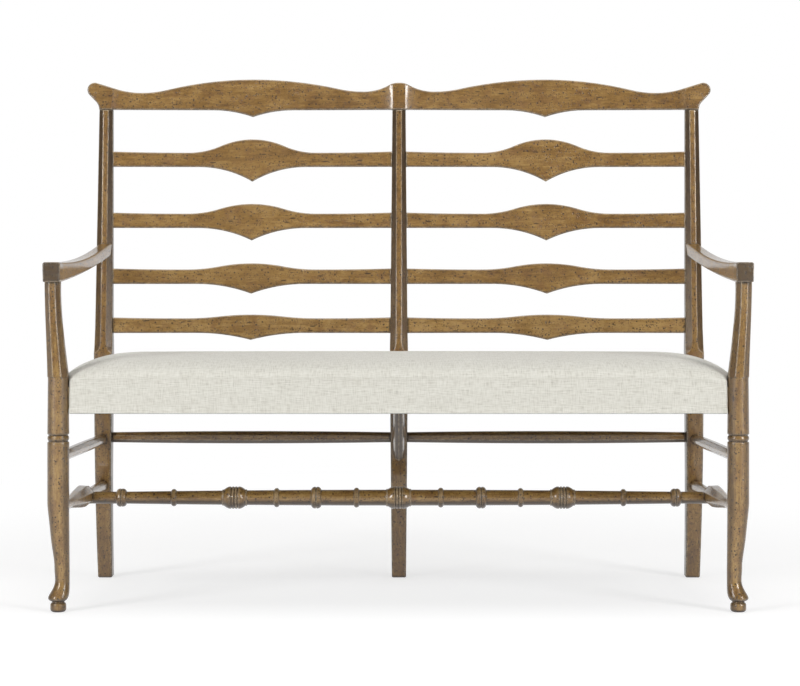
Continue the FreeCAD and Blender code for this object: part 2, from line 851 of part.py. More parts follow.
def slat_board(name, which):
    """The right slat's board, run a little into the posts at both ends."""
    reach = HALF_BAY - size("post_top_width") / 4
    half = size("slat_thickness") / 2
    bow = size("slat_bow")
    outline = sketch(name + "_outline", FRONT, slat_outline(which, reach), (
        ("bottom", "DistanceY", 0, f"dim.slat_{which}_bottom"),
        ("point", "DistanceY", 2, f"dim.slat_{which}_bottom - dim.slat_{which}_drop"),
        ("peak", "DistanceY", 9,
         f"dim.slat_{which}_bottom + dim.slat_height + dim.slat_{which}_rise"),
    ))
    outline.Placement = FreeCAD.Placement(Vector(HALF_BAY, 0, 0), FRONT.Rotation)
    front = extrude(name + "_front", outline, Vector(0, -1, 0), size("seat_depth"),
                    size("seat_depth"))
    band_edges = [
        arc((-reach, -half), (0, bow - half), (reach, -half)),
        line((reach, -half), (reach, half)),
        arc((reach, half), (0, bow + half), (-reach, half)),
        line((-reach, half), (-reach, -half)),
    ]
    band = raked_band(name + "_band", band_edges, HALF_BAY,
                      size(f"slat_{which}_bottom"), 3 * size("slat_height"), (
                          ("front_face", "DistanceY", 0, "-dim.slat_thickness / 2"),
                          ("back_face", "DistanceY", 2, "dim.slat_thickness / 2"),
                      ))
    return rounded(name + "_board", common(name + "_blank", front, band),
                   size("slat_rounding"), outline_edges)


def slat_tenon(name, which, post_lean, toward, grow):
    """The tenon that enters one post from one side, or with grow 1 its mortise."""
    height = size(f"slat_{which}_bottom") + size("slat_height") / 2
    face = post_centre_x(height, post_lean) + toward * post_width(height) / 2
    spare = f"{grow} * dim.fit_clearance"
    deep = size("slat_tenon_depth") + grow * size("fit_clearance")
    shift = toward * (size("slat_thickness") / 2 - deep) / 2
    return tilted_box(
        name, f"dim.slat_tenon_depth + {spare} + dim.slat_thickness / 2",
        f"dim.slat_tenon_thickness + 2 * {spare}", f"dim.slat_tenon_height + 2 * {spare}",
        Vector(face + shift, rear_axis_y(height), height))


def slat_end_cutter(name, which, lean):
    """A post's flat sides at one slat's height, to square the slat's end against."""
    low = size(f"slat_{which}_bottom") - 2 * size("slat_rounding")
    high = size(f"slat_{which}_bottom") + size("slat_height") + 2 * size("slat_end_rise")
    deep = size("seat_depth_at_post")
    item = doc.addObject("Part::Wedge", name)
    item.Ymin = low
    item.Ymax = high
    item.Xmin = post_centre_x(low, lean) - post_width(low) / 2
    item.Xmax = post_centre_x(low, lean) + post_width(low) / 2
    item.X2min = post_centre_x(high, lean) - post_width(high) / 2
    item.X2max = post_centre_x(high, lean) + post_width(high) / 2
    item.Zmin = item.Z2min = -rear_axis_y(low) - deep
    item.Zmax = item.Z2max = deep - rear_axis_y(low)
    item.Placement = FreeCAD.Placement(Vector(), FreeCAD.Rotation(Vector(1, 0, 0), 90))
    return item


slat_boards = {}
for which in SLATS:
    board = slat_board(f"slat_{which}", which)
    slat_boards[which, "right"] = board
    slat_boards[which, "left"] = mirror(f"slat_{which}_mirrored", board)


# Arms: level over the front post, then swept up and in to the rear post

def rounded_outline(corners, radii):
    """A closed wire through corners, each rounded by its own radius."""
    starts = []
    for number, corner in enumerate(corners):
        before = (corners[number - 1] - corner).normalize()
        after = (corners[(number + 1) % len(corners)] - corner).normalize()
        half_turn = before.getAngle(after) / 2
        radius = radii[number]
        setback = radius / math.tan(half_turn)
        middle = (before + after).normalize() * (radius / math.sin(half_turn) - radius)
        starts.append((corner + before * setback, corner + middle, corner + after * setback))
    edges = []
    for number, (first, middle, last) in enumerate(starts):
        edges.append(Part.Arc(first, middle, last).toShape())
        edges.append(Part.LineSegment(last, starts[(number + 1) % len(starts)][0]).toShape())
    return Part.Wire(edges)


def arm_share(y):
    """How far along the swept part of the arm a place is, from 0 to 1 at the rear post."""
    start = size("front_post_y") + size("arm_front_flat")
    end = rear_axis_y(size("arm_rear_top")) - post_depth(size("arm_rear_top")) / 2
    return (y - start) / (end - start)


def arm_section(name, y, side):
    share = arm_share(y)
    swept = max(0, share)
    front_top = size("support_top") + size("arm_height")
    rear_bottom = size("arm_rear_top") - size("arm_rear_height")
    sag = 4 * swept * (1 - swept)
    top = front_top + (size("arm_rear_top") - front_top) * swept - size("arm_top_sag") * sag
    bottom = (size("support_top") + (rear_bottom - size("support_top")) * swept
              - size("arm_bottom_sag") * sag)
    front_x = size("front_post_x") + size("support_top_out")
    x = side * (front_x + (size("arm_rear_x") - front_x) * swept)
    half_top = (size("arm_width_top") + (size("arm_rear_width") - size("arm_width_top")) * share) / 2
    half_bottom = half_top - (size("arm_width_top") - size("arm_width_bottom")) / 2
    corners = [Vector(x - half_bottom, y, bottom), Vector(x + half_bottom, y, bottom),
               Vector(x + half_top, y, top), Vector(x - half_top, y, top)]
    low, high = size("arm_lower_rounding"), size("arm_rounding")
    item = doc.addObject("Part::Feature", name)
    item.Shape = rounded_outline(corners, (low, low, high, high))
    return item


def arm_blank(label, side):
    name = f"arm_{label}"
    front = size("front_post_y") - size("arm_front_overhang")
    flat_end = size("front_post_y") + size("arm_front_flat")
    rear = rear_axis_y(size("arm_rear_top"))
    block = loft(name + "_block", [arm_section(name + "_nose", front, side),
                                   arm_section(name + "_block_end", flat_end, side)], True)
    steps = 5
    sweep = loft(name + "_sweep", [
        arm_section(f"{name}_sweep_{number}", flat_end + (rear - flat_end) * number / steps, side)
        for number in range(steps + 1)])
    return fuse(name + "_blank", [block, sweep])


def arm_tenon(name, side, grow):
    """The arm's rear tenon, or with grow 1 its mortise in the rear post."""
    height = size("arm_rear_top") - size("arm_rear_height") / 2
    y = rear_axis_y(height) - post_depth(height) / 2
    spare = f"{grow} * dim.fit_clearance"
    return box(name, f"dim.arm_tenon_width + 2 * {spare}",
               f"dim.arm_tenon_depth + {spare} + dim.arm_tenon_width",
               f"dim.arm_tenon_height + 2 * {spare}",
               f"{side} * dim.arm_rear_x - dim.arm_tenon_width / 2 - {spare}",
               f"{y} - dim.arm_tenon_width",
               f"{height} - dim.arm_tenon_height / 2 - {spare}")


arm_blanks = {label: arm_blank(label, side) for label, side in SIDES}


# Octagonal stretchers and the knee brace

def rod(name, start, end, stops, ruled=False, roll=22.5):
    """An octagonal rod between two points; stops are (share of the run, half width formula)."""
    run = end - start
    turn = FreeCAD.Rotation(Vector(0, 0, 1), run)
    flat = FreeCAD.Rotation(Vector(0, 0, 1), roll)
    sections = []
    for number, (share, half) in enumerate(stops):
        item = add("Part::RegularPolygon", f"{name}_{number}",
                   Circumradius=f"({half}) / cos(22.5 deg)")
        item.Polygon = 8
        item.Placement = FreeCAD.Placement(start + run * share, turn * flat)
        sections.append(item)
    return loft(name, sections, ruled)


def dowel(name, face, outward, grow):
    """A round tenon into a post from a point on its face, or with grow 1 its bore."""
    spare = f"{grow} * dim.fit_clearance"
    item = add("Part::Cylinder", name, Radius=f"dim.dowel_radius + {spare}",
               Height=f"2 * dim.dowel_depth + {spare}")
    into = outward * -1
    item.Placement = FreeCAD.Placement(face + outward * size("dowel_depth"),
                                       FreeCAD.Rotation(Vector(0, 0, 1), into))
    return item


def side_line(height, side):
    """The side stretchers' axis, from the front post's axis to the rear post's."""
    return (Vector(side * size("front_post_x"), size("front_post_y"), height),
            Vector(side * size("rear_post_x"), rear_axis_y(height), height))


def side_faces(height, side):
    """Where the side stretchers' axis leaves the front post and enters the rear post."""
    start, end = side_line(height, side)
    along = (end - start).normalize()
    front = start + along * size("column_radius")
    rear = end - along * (post_depth(height) / 2)
    return front, rear, along


def upper_stretcher(label, side):
    start, end = side_line(size("upper_stretcher_height"), side)
    return rod(f"side_stretcher_upper_{label}_rod", start, end, (
        (0, "dim.upper_stretcher_end_half"),
        (0.5, "dim.upper_stretcher_mid_half"),
        (1, "dim.upper_stretcher_end_half")))


LEAF_SPANS = (
    # half width that the span runs to, stations in it
    ("lower_stretcher_neck_half", 2),
    ("lower_stretcher_bulge_half", 5),
    ("lower_stretcher_waist_half", 4),
    ("lower_stretcher_tail_half", 5),
)


def leaf_stops(length):
    """Stations along the lower stretcher, eased from each half width to the next."""
    middle = size("bulge_place")
    ends = (middle - size("bulge_front_length"), middle, middle + size("bulge_rear_length"), length)
    place, half = 0, "dim.lower_stretcher_neck_half"
    stops = [(0, half)]
    for end, (name, parts) in zip(ends, LEAF_SPANS):
        target = "dim." + name
        for part in range(1, parts + 1):
            share = (1 - math.cos(math.pi * part / parts)) / 2
            stops.append(((place + (end - place) * part / parts) / length,
                          f"{half} + ({target} - {half}) * {share}"))
        place, half = end, target
    return stops


def lower_stretcher(label, side):
    """A faceted leaf-shaped bulge takes the turned stretcher's end."""
    start, end = side_line(size("lower_stretcher_height"), side)
    return rod(f"side_stretcher_lower_{label}_rod", start, end, leaf_stops((end - start).y))


def rear_stretcher(label, side):
    height = size("rear_stretcher_height")
    y = rear_axis_y(height)
    return rod(f"rear_stretcher_{label}_rod", Vector(0, y, height),
               Vector(side * size("rear_post_x"), y, height), (
                   (0, "dim.rear_stretcher_end_half"),
                   (0.5, "dim.rear_stretcher_mid_half"),
                   (1, "dim.rear_stretcher_end_half")))


upper_rods = {label: upper_stretcher(label, side) for label, side in SIDES}
lower_rods = {label: lower_stretcher(label, side) for label, side in SIDES}
rear_rods = {label: rear_stretcher(label, side) for label, side in SIDES}


# Turned medial stretcher between the two bulges

def shaft_radius(x):
    share = min(1, abs(x) / size("medial_taper_end"))
    loss = size("medial_mid_radius") - size("medial_end_radius")
    return size("medial_mid_radius") - loss * share ** 2


def bead(start, end, low_first, low_last, proud):
    """One rounded ring on the shaft, as an arc."""
    middle = (start + end) / 2
    return arc((start, low_first), (middle, (low_first + low_last) / 2 + proud), (end, low_last))


def thin_ring(x):
    half = size("thin_ring_width") / 2
    return x - half, x + half, [bead(x - half, x + half, shaft_radius(x - half),
                                     shaft_radius(x + half), size("thin_ring_proud"))]


def double_ring(x):
    """A full ring with one fine groove round its middle."""
    half = size("double_ring_width") / 2
    lip = size("double_ring_groove") / 2
    crest = shaft_radius(x) + size("double_ring_proud")
    flank = shaft_radius(x) + 0.74 * size("double_ring_proud")
    valley = (x, crest - size("double_ring_groove_depth"))
    return x - half, x + half, [
        arc((x - half, shaft_radius(x - half)), (x - 0.74 * half, flank), (x - lip, crest)),
        line((x - lip, crest), valley),
        line(valley, (x + lip, crest)),
        arc((x + lip, crest), (x + 0.74 * half, flank), (x + half, shaft_radius(x + half)))]


def bulb(x):
    """A bulb, level and grooved in the middle, with a small bead at each end."""
    half = size("bulb_length") / 2
    inner = half - size("bulb_bead")
    radius = size("bulb_radius")
    foot = 0.8 * shaft_radius(x) + 0.2 * radius
    pitch = size("bulb_groove_pitch")
    cut_half = size("bulb_groove_width") / 2
    deep = size("bulb_groove_depth")
    edge = pitch + cut_half
    level = size("bulb_level_half")
    edges = [bead(x - half, x - inner, shaft_radius(x - half), foot, size("bulb_bead") / 3)]
    bend = (level + inner) / 2
    swell = foot + (radius - foot) * 0.64
    edges.append(arc((x - inner, foot), (x - bend, swell), (x - level, radius)))
    edges.append(line((x - level, radius), (x - edge, radius)))
    for number in (-1, 0, 1):
        place = x + number * pitch
        edges.append(arc((place - cut_half, radius), (place, radius - deep), (place + cut_half, radius)))
        if number < 1:
            edges.append(line((place + cut_half, radius), (place + pitch - cut_half, radius)))
    edges.append(line((x + edge, radius), (x + level, radius)))
    edges.append(arc((x + level, radius), (x + bend, swell), (x + inner, foot)))
    edges.append(bead(x + inner, x + half, foot, shaft_radius(x + half), size("bulb_bead") / 3))
    return x - half, x + half, edges


def medial_outline(reach):
    """The turned profile from end to end, closed along the axis."""
    right = [
        thin_ring(size("first_thin_ring")),
        double_ring(size("inner_double_ring")),
        thin_ring(size("second_thin_ring")),
        bulb(size("outer_bulb")),
        thin_ring(size("third_thin_ring")),
        double_ring(size("outer_double_ring")),
    ]
    middle = bulb(0)
    edges = []
    place = middle[1]
    for start, end, turned in right:
        edges.append(line((place, shaft_radius(place)), (start, shaft_radius(start))))
        edges.extend(turned)
        place = end
    edges.append(line((place, shaft_radius(place)), (reach, size("medial_end_radius"))))
    edges.append(line((reach, size("medial_end_radius")), (reach, 0)))
    centre = middle[2]
    tail = line((reach, 0), (-reach, 0))
    return centre + edges + [tail] + mirrored(edges)


def medial_blank():
    height = size("medial_height")
    y = size("front_post_y") + size("bulge_place")
    start, end = side_line(height, 1)
    reach = start.x + (end.x - start.x) * size("bulge_place") / (end - start).y
    outline = sketch("medial_outline", FRONT, medial_outline(reach))
    item = doc.addObject("Part::Revolution", "medial_turning")
    item.Source = outline
    item.Axis = Vector(1, 0, 0)
    item.Base = Vector(0, 0, 0)
    item.Angle = 360
    item.Solid = True
    item.Placement = FreeCAD.Placement(Vector(0, y, height), FreeCAD.Rotation())
    return item, reach


medial_turning, medial_reach = medial_blank()


# Seat rails, tenoned into the posts at two levels so that no two tenons meet

LOW_TENON = "(dim.rail_bottom + dim.rail_tenon_inset)"
HIGH_TENON = "(dim.rail_bottom + dim.rail_height - dim.rail_tenon_inset - dim.rail_tenon_height)"
FRONT_FACE = "(dim.front_post_y - dim.seat_front_reach)"
REAR_FACE = "(dim.front_post_y + dim.seat_depth + dim.seat_rear_reach)"
REAR_AXIS = "(dim.front_post_y + dim.seat_depth)"
FRONT_RAIL_Y = f"({FRONT_FACE} + dim.rail_setback)"
REAR_RAIL_Y = f"({REAR_FACE} - dim.rail_setback - dim.rail_thickness)"
SIDE_RAIL_X = "(dim.seat_half_width - dim.rail_setback - dim.rail_thickness / 2)"
RAIL_TOP = "(dim.rail_bottom + dim.rail_height)"


def post_half_at_rail():
    height = size("rail_bottom") + size("rail_height") / 2
    return post_width(height) / 2


def rail_tenon(name, x, y, level, along_x, grow):
    """A tenon block centred on a point in plan, reaching both ways past the joint."""
    spare = f"{grow} * dim.fit_clearance"
    long = f"2 * (dim.rail_tenon_depth + {spare})"
    thick = f"dim.rail_tenon_thickness + 2 * {spare}"
    length, width = (long, thick) if along_x else (thick, long)
    return box(name, length, width, f"dim.rail_tenon_height + 2 * {spare}",
               f"{x} - ({length}) / 2", f"{y} - ({width}) / 2", f"{level} - {spare}")


def front_rail_tenon(name, side, grow):
    """The front rail's tenon in a front post."""
    x = f"{side} * (dim.front_post_x - dim.column_radius)"
    return rail_tenon(name, x, f"({FRONT_RAIL_Y} + dim.rail_thickness / 2)", HIGH_TENON, True, grow)


def side_front_tenon(name, side, grow):
    """The side rail's tenon, past the front rail's end and into the front post."""
    x = f"{side} * ({SIDE_RAIL_X} + dim.side_tenon_out)"
    return rail_tenon(name, x, f"({FRONT_RAIL_Y} + dim.rail_thickness - dim.side_tenon_out)",
                      LOW_TENON, False, grow)


def side_rear_tenon(name, side, grow):
    y = f"({REAR_AXIS} - dim.seat_depth_at_post / 2)"
    return rail_tenon(name, f"{side} * {SIDE_RAIL_X}", y, LOW_TENON, False, grow)


def rear_rail_tenon(name, lean, toward, grow):
    """A rear rail's tenon in one rear post."""
    x = f"({lean} * dim.rear_post_x + {toward * post_half_at_rail()})"
    return rail_tenon(name, x, f"({REAR_RAIL_Y} + dim.rail_thickness / 2)", HIGH_TENON, True, grow)


def centre_front_tenon(name, grow):
    return rail_tenon(name, "0", f"({FRONT_RAIL_Y} + dim.rail_thickness)", LOW_TENON, False, grow)


def centre_rear_tenon(name, grow):
    y = f"({REAR_AXIS} - dim.seat_depth_at_post / 2)"
    return rail_tenon(name, "0", y, LOW_TENON, False, grow)


front_rail_bar = box("front_rail_bar", "2 * (dim.seat_half_width - dim.rail_setback)",
                     "dim.rail_thickness", "dim.rail_height",
                     "dim.rail_setback - dim.seat_half_width", FRONT_RAIL_Y, "dim.rail_bottom")
centre_rail_bar = box("centre_rail_bar", "dim.centre_rail_width",
                      f"{REAR_AXIS} - {FRONT_RAIL_Y} - dim.rail_thickness", "dim.rail_height",
                      "-dim.centre_rail_width / 2", f"{FRONT_RAIL_Y} + dim.rail_thickness",
                      "dim.rail_bottom")


# Corner blocks and their screws

BLOCKS = (
    # name, side, end, quarter turns
    ("front_left", -1, "front", 0),
    ("front_right", 1, "front", 1),
    ("rear_right", 1, "rear", 2),
    ("rear_left", -1, "rear", 3),
)


def block_corner(side, end):
    """The inner corner that two rails make."""
    x = side * (size("seat_half_width") - size("rail_setback") - size("rail_thickness"))
    front = size("front_post_y") - size("seat_front_reach") + size("rail_setback")
    rear = REAR_Y + size("seat_rear_reach") - size("rail_setback")
    thick = size("rail_thickness")
    y = front + thick if end == "front" else rear - thick
    return Vector(x, y, size("rail_bottom") + size("block_drop"))


def corner_wedge(name, corner, quarters):
    item = add("Part::Wedge", name, Xmax="dim.block_leg", Ymax="dim.block_leg",
               Zmax="dim.block_height", X2max="dim.block_tip", Z2max="dim.block_height")
    item.Xmin = item.Ymin = item.Zmin = item.X2min = item.Z2min = 0
    item.Placement = FreeCAD.Placement(corner, FreeCAD.Rotation(Vector(0, 0, 1), 90 * quarters))
    return item


def block_screws(name, corner, quarters, grow):
    """Two screws, one into each rail, or with grow 1 their holes."""
    turn = FreeCAD.Rotation(Vector(0, 0, 1), 90 * quarters)
    spare = f"{grow} * dim.fit_clearance"
    inset = size("screw_inset")
    under_head = size("screw_length") - size("screw_bite")
    back = size("screw_head_height") / 2 + grow * size("block_leg")
    pieces = []
    for kind, start, way in (
            ("low", Vector(inset, under_head, size("screw_low")), Vector(0, -1, 0)),
            ("high", Vector(under_head, inset, size("screw_high")), Vector(-1, 0, 0))):
        aim = turn * FreeCAD.Rotation(Vector(0, 0, 1), way)
        shank = add("Part::Cylinder", f"{name}_{kind}_shank",
                    Radius=f"dim.screw_radius + {spare}", Height=f"dim.screw_length + {spare}")
        shank.Placement = FreeCAD.Placement(corner + turn.multVec(start), aim)
        head = add("Part::Cylinder", f"{name}_{kind}_head",
                   Radius=f"dim.screw_head_radius + {spare}",
                   Height=f"dim.screw_head_height + {grow} * dim.block_leg")
        head.Placement = FreeCAD.Placement(corner + turn.multVec(start - way * back), aim)
        pieces.extend((shank, head))
    return pieces


block_places = {name: (block_corner(side, end), quarters) for name, side, end, quarters in BLOCKS}
screw_holes = {name: block_screws(f"screw_hole_{name}", corner, quarters, 1)
               for name, (corner, quarters) in block_places.items()}


# Finished frame parts, each cut to its neighbours and given its tenons

def finish_rear_post(label, lean):
    name = f"rear_post_{label}"
    inward = (-lean,) if lean else (-1, 1)
    tools = [slat_tenon(f"{name}_mortise_{which}_{toward + 1}", which, lean, toward, 1)
             for which in SLATS for toward in inward]
    height = size("rear_stretcher_height")
    for toward in inward:
        face = Vector(lean * size("rear_post_x") + toward * post_width(height) / 2,
                      rear_axis_y(height), height)
        tools.append(dowel(f"{name}_rear_bore_{toward + 1}", face, Vector(toward, 0, 0), 1))
        tools.append(rear_rail_tenon(f"{name}_rail_mortise_{toward + 1}", lean, toward, 1))
    if lean:
        tools.append(arm_tenon(name + "_arm_mortise", lean, 1))
        tools.append(side_rear_tenon(name + "_side_mortise", lean, 1))
        for kind in ("upper", "lower"):
            _, rear, along = side_faces(size(kind + "_stretcher_height"), lean)
            tools.append(dowel(f"{name}_{kind}_bore", rear, along * -1, 1))
    else:
        tools.append(centre_rear_tenon(name + "_centre_mortise", 1))
        tools.append(dowel(name + "_brace_bore", BRACE_FOOT, BRACE_WAY, 1))
    solid = fuse(name + "_with_tenon", [rear_blanks[label], crest_tenon(name + "_tenon", lean, 0)])
    node(cut(name, solid, tools), name)


BRACE_WAY = Vector(0, -math.cos(math.radians(size("brace_angle"))),
                   math.sin(math.radians(size("brace_angle"))))
BRACE_FOOT = Vector(0, rear_axis_y(size("brace_post_height"))
                    - post_depth(size("brace_post_height")) / 2, size("brace_post_height"))
BRACE_HEAD = BRACE_FOOT + BRACE_WAY * (
    (size("rail_bottom") - size("brace_post_height")) / BRACE_WAY.z)


def finish_brace():
    spare_end = BRACE_WAY * (2 * size("brace_half"))
    bar = rod("centre_brace_rod", BRACE_FOOT - spare_end, BRACE_HEAD + spare_end,
              ((0, "dim.brace_half"), (1, "dim.brace_half")), roll=0)
    slab = box("centre_brace_trim", "2 * dim.rail_thickness", "dim.seat_depth", "dim.rail_height",
               "-dim.rail_thickness", REAR_AXIS + " - dim.seat_depth", "dim.rail_bottom")
    trimmed = cut("centre_brace_bar", bar, [rear_blanks["centre"], slab])
    node(fuse("centre_brace", [trimmed,
                               dowel("centre_brace_foot_dowel", BRACE_FOOT, BRACE_WAY, 0),
                               dowel("centre_brace_head_dowel", BRACE_HEAD, BRACE_WAY * -1, 0)]),
         "centre_brace")


def finish_front_post(label, side):
    name = f"front_post_{label}"
    tools = [front_rail_tenon(name + "_rail_mortise", side, 1),
             side_front_tenon(name + "_side_mortise", side, 1)]
    for kind in ("upper", "lower"):
        front, _, along = side_faces(size(kind + "_stretcher_height"), side)
        tools.append(dowel(f"{name}_{kind}_bore", front, along, 1))
    solid = fuse(name + "_with_pin", [front_blanks[label], support_pin(name + "_pin", side, 0)])
    node(cut(name, solid, tools), name)


def finish_slat(which, label, side):
    name = f"slat_{which}_{label}"
    if size(f"slat_{which}_bottom") < size("rake_start") + 2 * size("lambs_tongue_height"):
        ends = [rear_blanks["centre"], rear_blanks[label]]
    else:
        ends = [slat_end_cutter(name + "_inner_end", which, 0),
                slat_end_cutter(name + "_outer_end", which, side)]
    trimmed = cut(name + "_trimmed", slat_boards[which, label], ends)
    node(fuse(name, [trimmed,
                     slat_tenon(name + "_inner_tenon", which, 0, side, 0),
                     slat_tenon(name + "_outer_tenon", which, side, -side, 0)]), name)


def finish_arm(label, side):
    name = f"arm_{label}"
    trimmed = cut(name + "_trimmed", arm_blanks[label], [rear_blanks[label]])
    tenoned = fuse(name + "_tenoned", [trimmed, arm_tenon(name + "_tenon", side, 0)])
    node(cut(name, tenoned, [support_pin(name + "_bore", side, 1)]), name)


def medial_dowel(name, side, grow):
    y = size("front_post_y") + size("bulge_place")
    face = Vector(side * (medial_reach - size("lower_stretcher_bulge_half")), y,
                  size("medial_height"))
    return dowel(name, face, Vector(-side, 0, 0), grow)


def finish_side_stretcher(kind, rods, label, side):
    name = f"side_stretcher_{kind}_{label}"
    front, rear, along = side_faces(size(kind + "_stretcher_height"), side)
    trimmed = cut(name + "_trimmed", rods[label], [front_blanks[label], rear_blanks[label]])
    solid = fuse(name + "_tenoned", [trimmed, dowel(name + "_front_dowel", front, along, 0),
                                     dowel(name + "_rear_dowel", rear, along * -1, 0)])
    if kind == "lower":
        solid = cut(name + "_bored", solid, [medial_dowel(name + "_bore", side, 1)])
    node(solid, name)


def finish_rear_stretcher(label, side):
    name = f"rear_stretcher_{label}"
    height = size("rear_stretcher_height")
    half = post_width(height) / 2
    y = rear_axis_y(height)
    trimmed = cut(name + "_trimmed", rear_rods[label], [rear_blanks["centre"], rear_blanks[label]])
    inner = Vector(side * half, y, height)
    outer = Vector(side * (size("rear_post_x") - half), y, height)
    node(fuse(name, [trimmed, dowel(name + "_inner_dowel", inner, Vector(side, 0, 0), 0),
                     dowel(name + "_outer_dowel", outer, Vector(-side, 0, 0), 0)]), name)


def finish_medial():
    trimmed = cut("medial_trimmed", medial_turning, list(lower_rods.values()))
    node(fuse("medial_stretcher", [trimmed] + [
        medial_dowel(f"medial_dowel_{label}", side, 0) for label, side in SIDES]),
        "medial_stretcher")


def finish_rails():
    holes = {end: [hole for name, _, place, _ in BLOCKS if place == end
                   for hole in screw_holes[name]] for end in ("front", "rear")}
    trimmed = cut("front_rail_trimmed", front_rail_bar, list(front_blanks.values()))
    tenoned = fuse("front_rail_tenoned", [trimmed] + [
        front_rail_tenon(f"front_rail_tenon_{label}", side, 0) for label, side in SIDES])
    node(cut("seat_rail_front", tenoned, holes["front"] + [
        centre_front_tenon("front_rail_centre_mortise", 1)] + [
        side_front_tenon(f"front_rail_side_mortise_{label}", side, 1) for label, side in SIDES]),
        "seat_rail_front")
    trimmed = cut("centre_rail_trimmed", centre_rail_bar, [rear_blanks["centre"]])
    tenoned = fuse("centre_rail_tenoned", [trimmed, centre_front_tenon("centre_rail_front_tenon", 0),
                                           centre_rear_tenon("centre_rail_rear_tenon", 0)])
    node(cut("seat_rail_centre", tenoned, [
        dowel("centre_rail_brace_bore", BRACE_HEAD, BRACE_WAY * -1, 1)]), "seat_rail_centre")
    for label, side in SIDES:
        bar = box(f"side_rail_bar_{label}", "dim.rail_thickness", f"{REAR_AXIS} - dim.front_post_y",
                  "dim.rail_height", f"{side} * {SIDE_RAIL_X} - dim.rail_thickness / 2",
                  "dim.front_post_y", "dim.rail_bottom")
        trimmed = cut(f"side_rail_trimmed_{label}", bar, [
            front_blanks[label], rear_blanks[label], front_rail_bar])
        tenoned = fuse(f"side_rail_tenoned_{label}", [
            trimmed, side_front_tenon(f"side_rail_front_tenon_{label}", side, 0),
            side_rear_tenon(f"side_rail_rear_tenon_{label}", side, 0)])
        name = f"seat_rail_side_{label}"
        node(cut(name, tenoned, holes["front"] + holes["rear"]), name)
        bar = box(f"rear_rail_bar_{label}", "dim.rear_post_x", "dim.rail_thickness",
                  "dim.rail_height", "0" if side > 0 else "-dim.rear_post_x", REAR_RAIL_Y,
                  "dim.rail_bottom")
        trimmed = cut(f"rear_rail_trimmed_{label}", bar, [rear_blanks["centre"], rear_blanks[label]])
        tenoned = fuse(f"rear_rail_tenoned_{label}", [
            trimmed, rear_rail_tenon(f"rear_rail_inner_tenon_{label}", 0, side, 0),
            rear_rail_tenon(f"rear_rail_outer_tenon_{label}", side, -side, 0)])
        name = f"seat_rail_rear_{label}"
        node(cut(name, tenoned, holes["rear"]), name)


def finish_blocks():
    for name, _, _, _ in BLOCKS:
        corner, quarters = block_places[name]
        wedge = corner_wedge(f"block_wedge_{name}", corner, quarters)
        tools = list(screw_holes[name])
        if name.startswith("rear"):
            tools.append(rear_blanks[name.split("_")[1]])
        label = f"corner_block_{name}"
        node(cut(label, wedge, tools), label)
    screws = [fuse(f"screw_pair_{name}", block_screws(f"screw_{name}", corner, quarters, 0))
              for name, (corner, quarters) in block_places.items()]
    node(fuse("corner_block_screws", screws), "corner_block_screws")


# Webbing, tacked to the rail tops: cross strips below, long strips above

def finish_webbing():
    strips = []
    for number in range(12):
        strips.append(box(
            f"cross_web_{number}", "dim.web_width",
            f"{REAR_RAIL_Y} - {FRONT_RAIL_Y} - dim.rail_thickness + 2 * dim.web_lap",
            "dim.web_thickness",
            f"{number - 5.5} * dim.cross_web_spacing - dim.web_width / 2",
            f"{FRONT_RAIL_Y} + dim.rail_thickness - dim.web_lap", RAIL_TOP))
    for number in (-1, 0, 1):
        strips.append(box(
            f"long_web_{number + 1}", f"2 * ({SIDE_RAIL_X} - dim.rail_thickness / 2 + dim.web_lap)",
            "dim.web_width", "dim.web_thickness",
            f"-({SIDE_RAIL_X} - dim.rail_thickness / 2 + dim.web_lap)",
            f"dim.front_post_y + dim.seat_depth / 2 + {number} * dim.long_web_spacing"
            " - dim.web_width / 2",
            f"{RAIL_TOP} + dim.web_thickness + dim.soft_clearance"))
    node(fuse("seat_webbing", strips), "seat_webbing")


# Upholstery: one crowned form with drawn-in faces, inset for each layer

def seat_top(x):
    """Height of the crown at a distance from the middle, before any inset."""
    half = size("seat_half_width")
    share = min(1, abs(x) / half)
    top = size("seat_crown") - size("seat_edge_drop") * share ** 2
    into = (abs(x) - (half - size("side_shoulder_width"))) / size("side_shoulder_width")
    if into > 0:
        top -= size("side_shoulder_drop") * (1 - math.sqrt(1 - min(1, into) ** 2))
    return top


def seat_section(name, x, inset, floor):
    """The seat's section at one distance from the middle, drawn in at front and back."""
    bottom = size("seat_bottom") + floor
    shrunk = x * (size("seat_half_width") - inset) / size("seat_half_width")
    top = seat_top(x) - inset
    shoulder = bottom + (top - bottom) * size("face_share")
    roll = size("front_roll")
    draw = size("seat_draw_in")
    front = size("front_post_y") - size("seat_front_reach") + inset
    rear = REAR_Y + size("seat_rear_reach") - inset
    front_top = top - size("front_roll_drop")
    rear_top = top - size("rear_roll_drop")
    middle = (front + rear) / 2
    bulge = (bottom + shoulder) / 2
    ease = roll * size("roll_ease")
    fall = size("roll_fall")
    points = [
        (front + draw, bottom), (front, bulge), (front + draw / 2, shoulder),
        (front + ease, front_top - (front_top - shoulder) * fall),
        (front + roll, front_top), (middle, top), (rear - roll, rear_top),
        (rear - ease, rear_top - (rear_top - shoulder) * fall),
        (rear - draw / 2, shoulder), (rear, bulge), (rear - draw, bottom)]
    at = [Vector(shrunk, y, z) for y, z in points]
    edges = [Part.Arc(at[start], at[start + 1], at[start + 2]).toShape()
             for start in range(0, len(at) - 1, 2)]
    edges.append(Part.LineSegment(at[-1], at[0]).toShape())
    item = doc.addObject("Part::Feature", name)
    item.Shape = Part.Wire(edges)
    return item


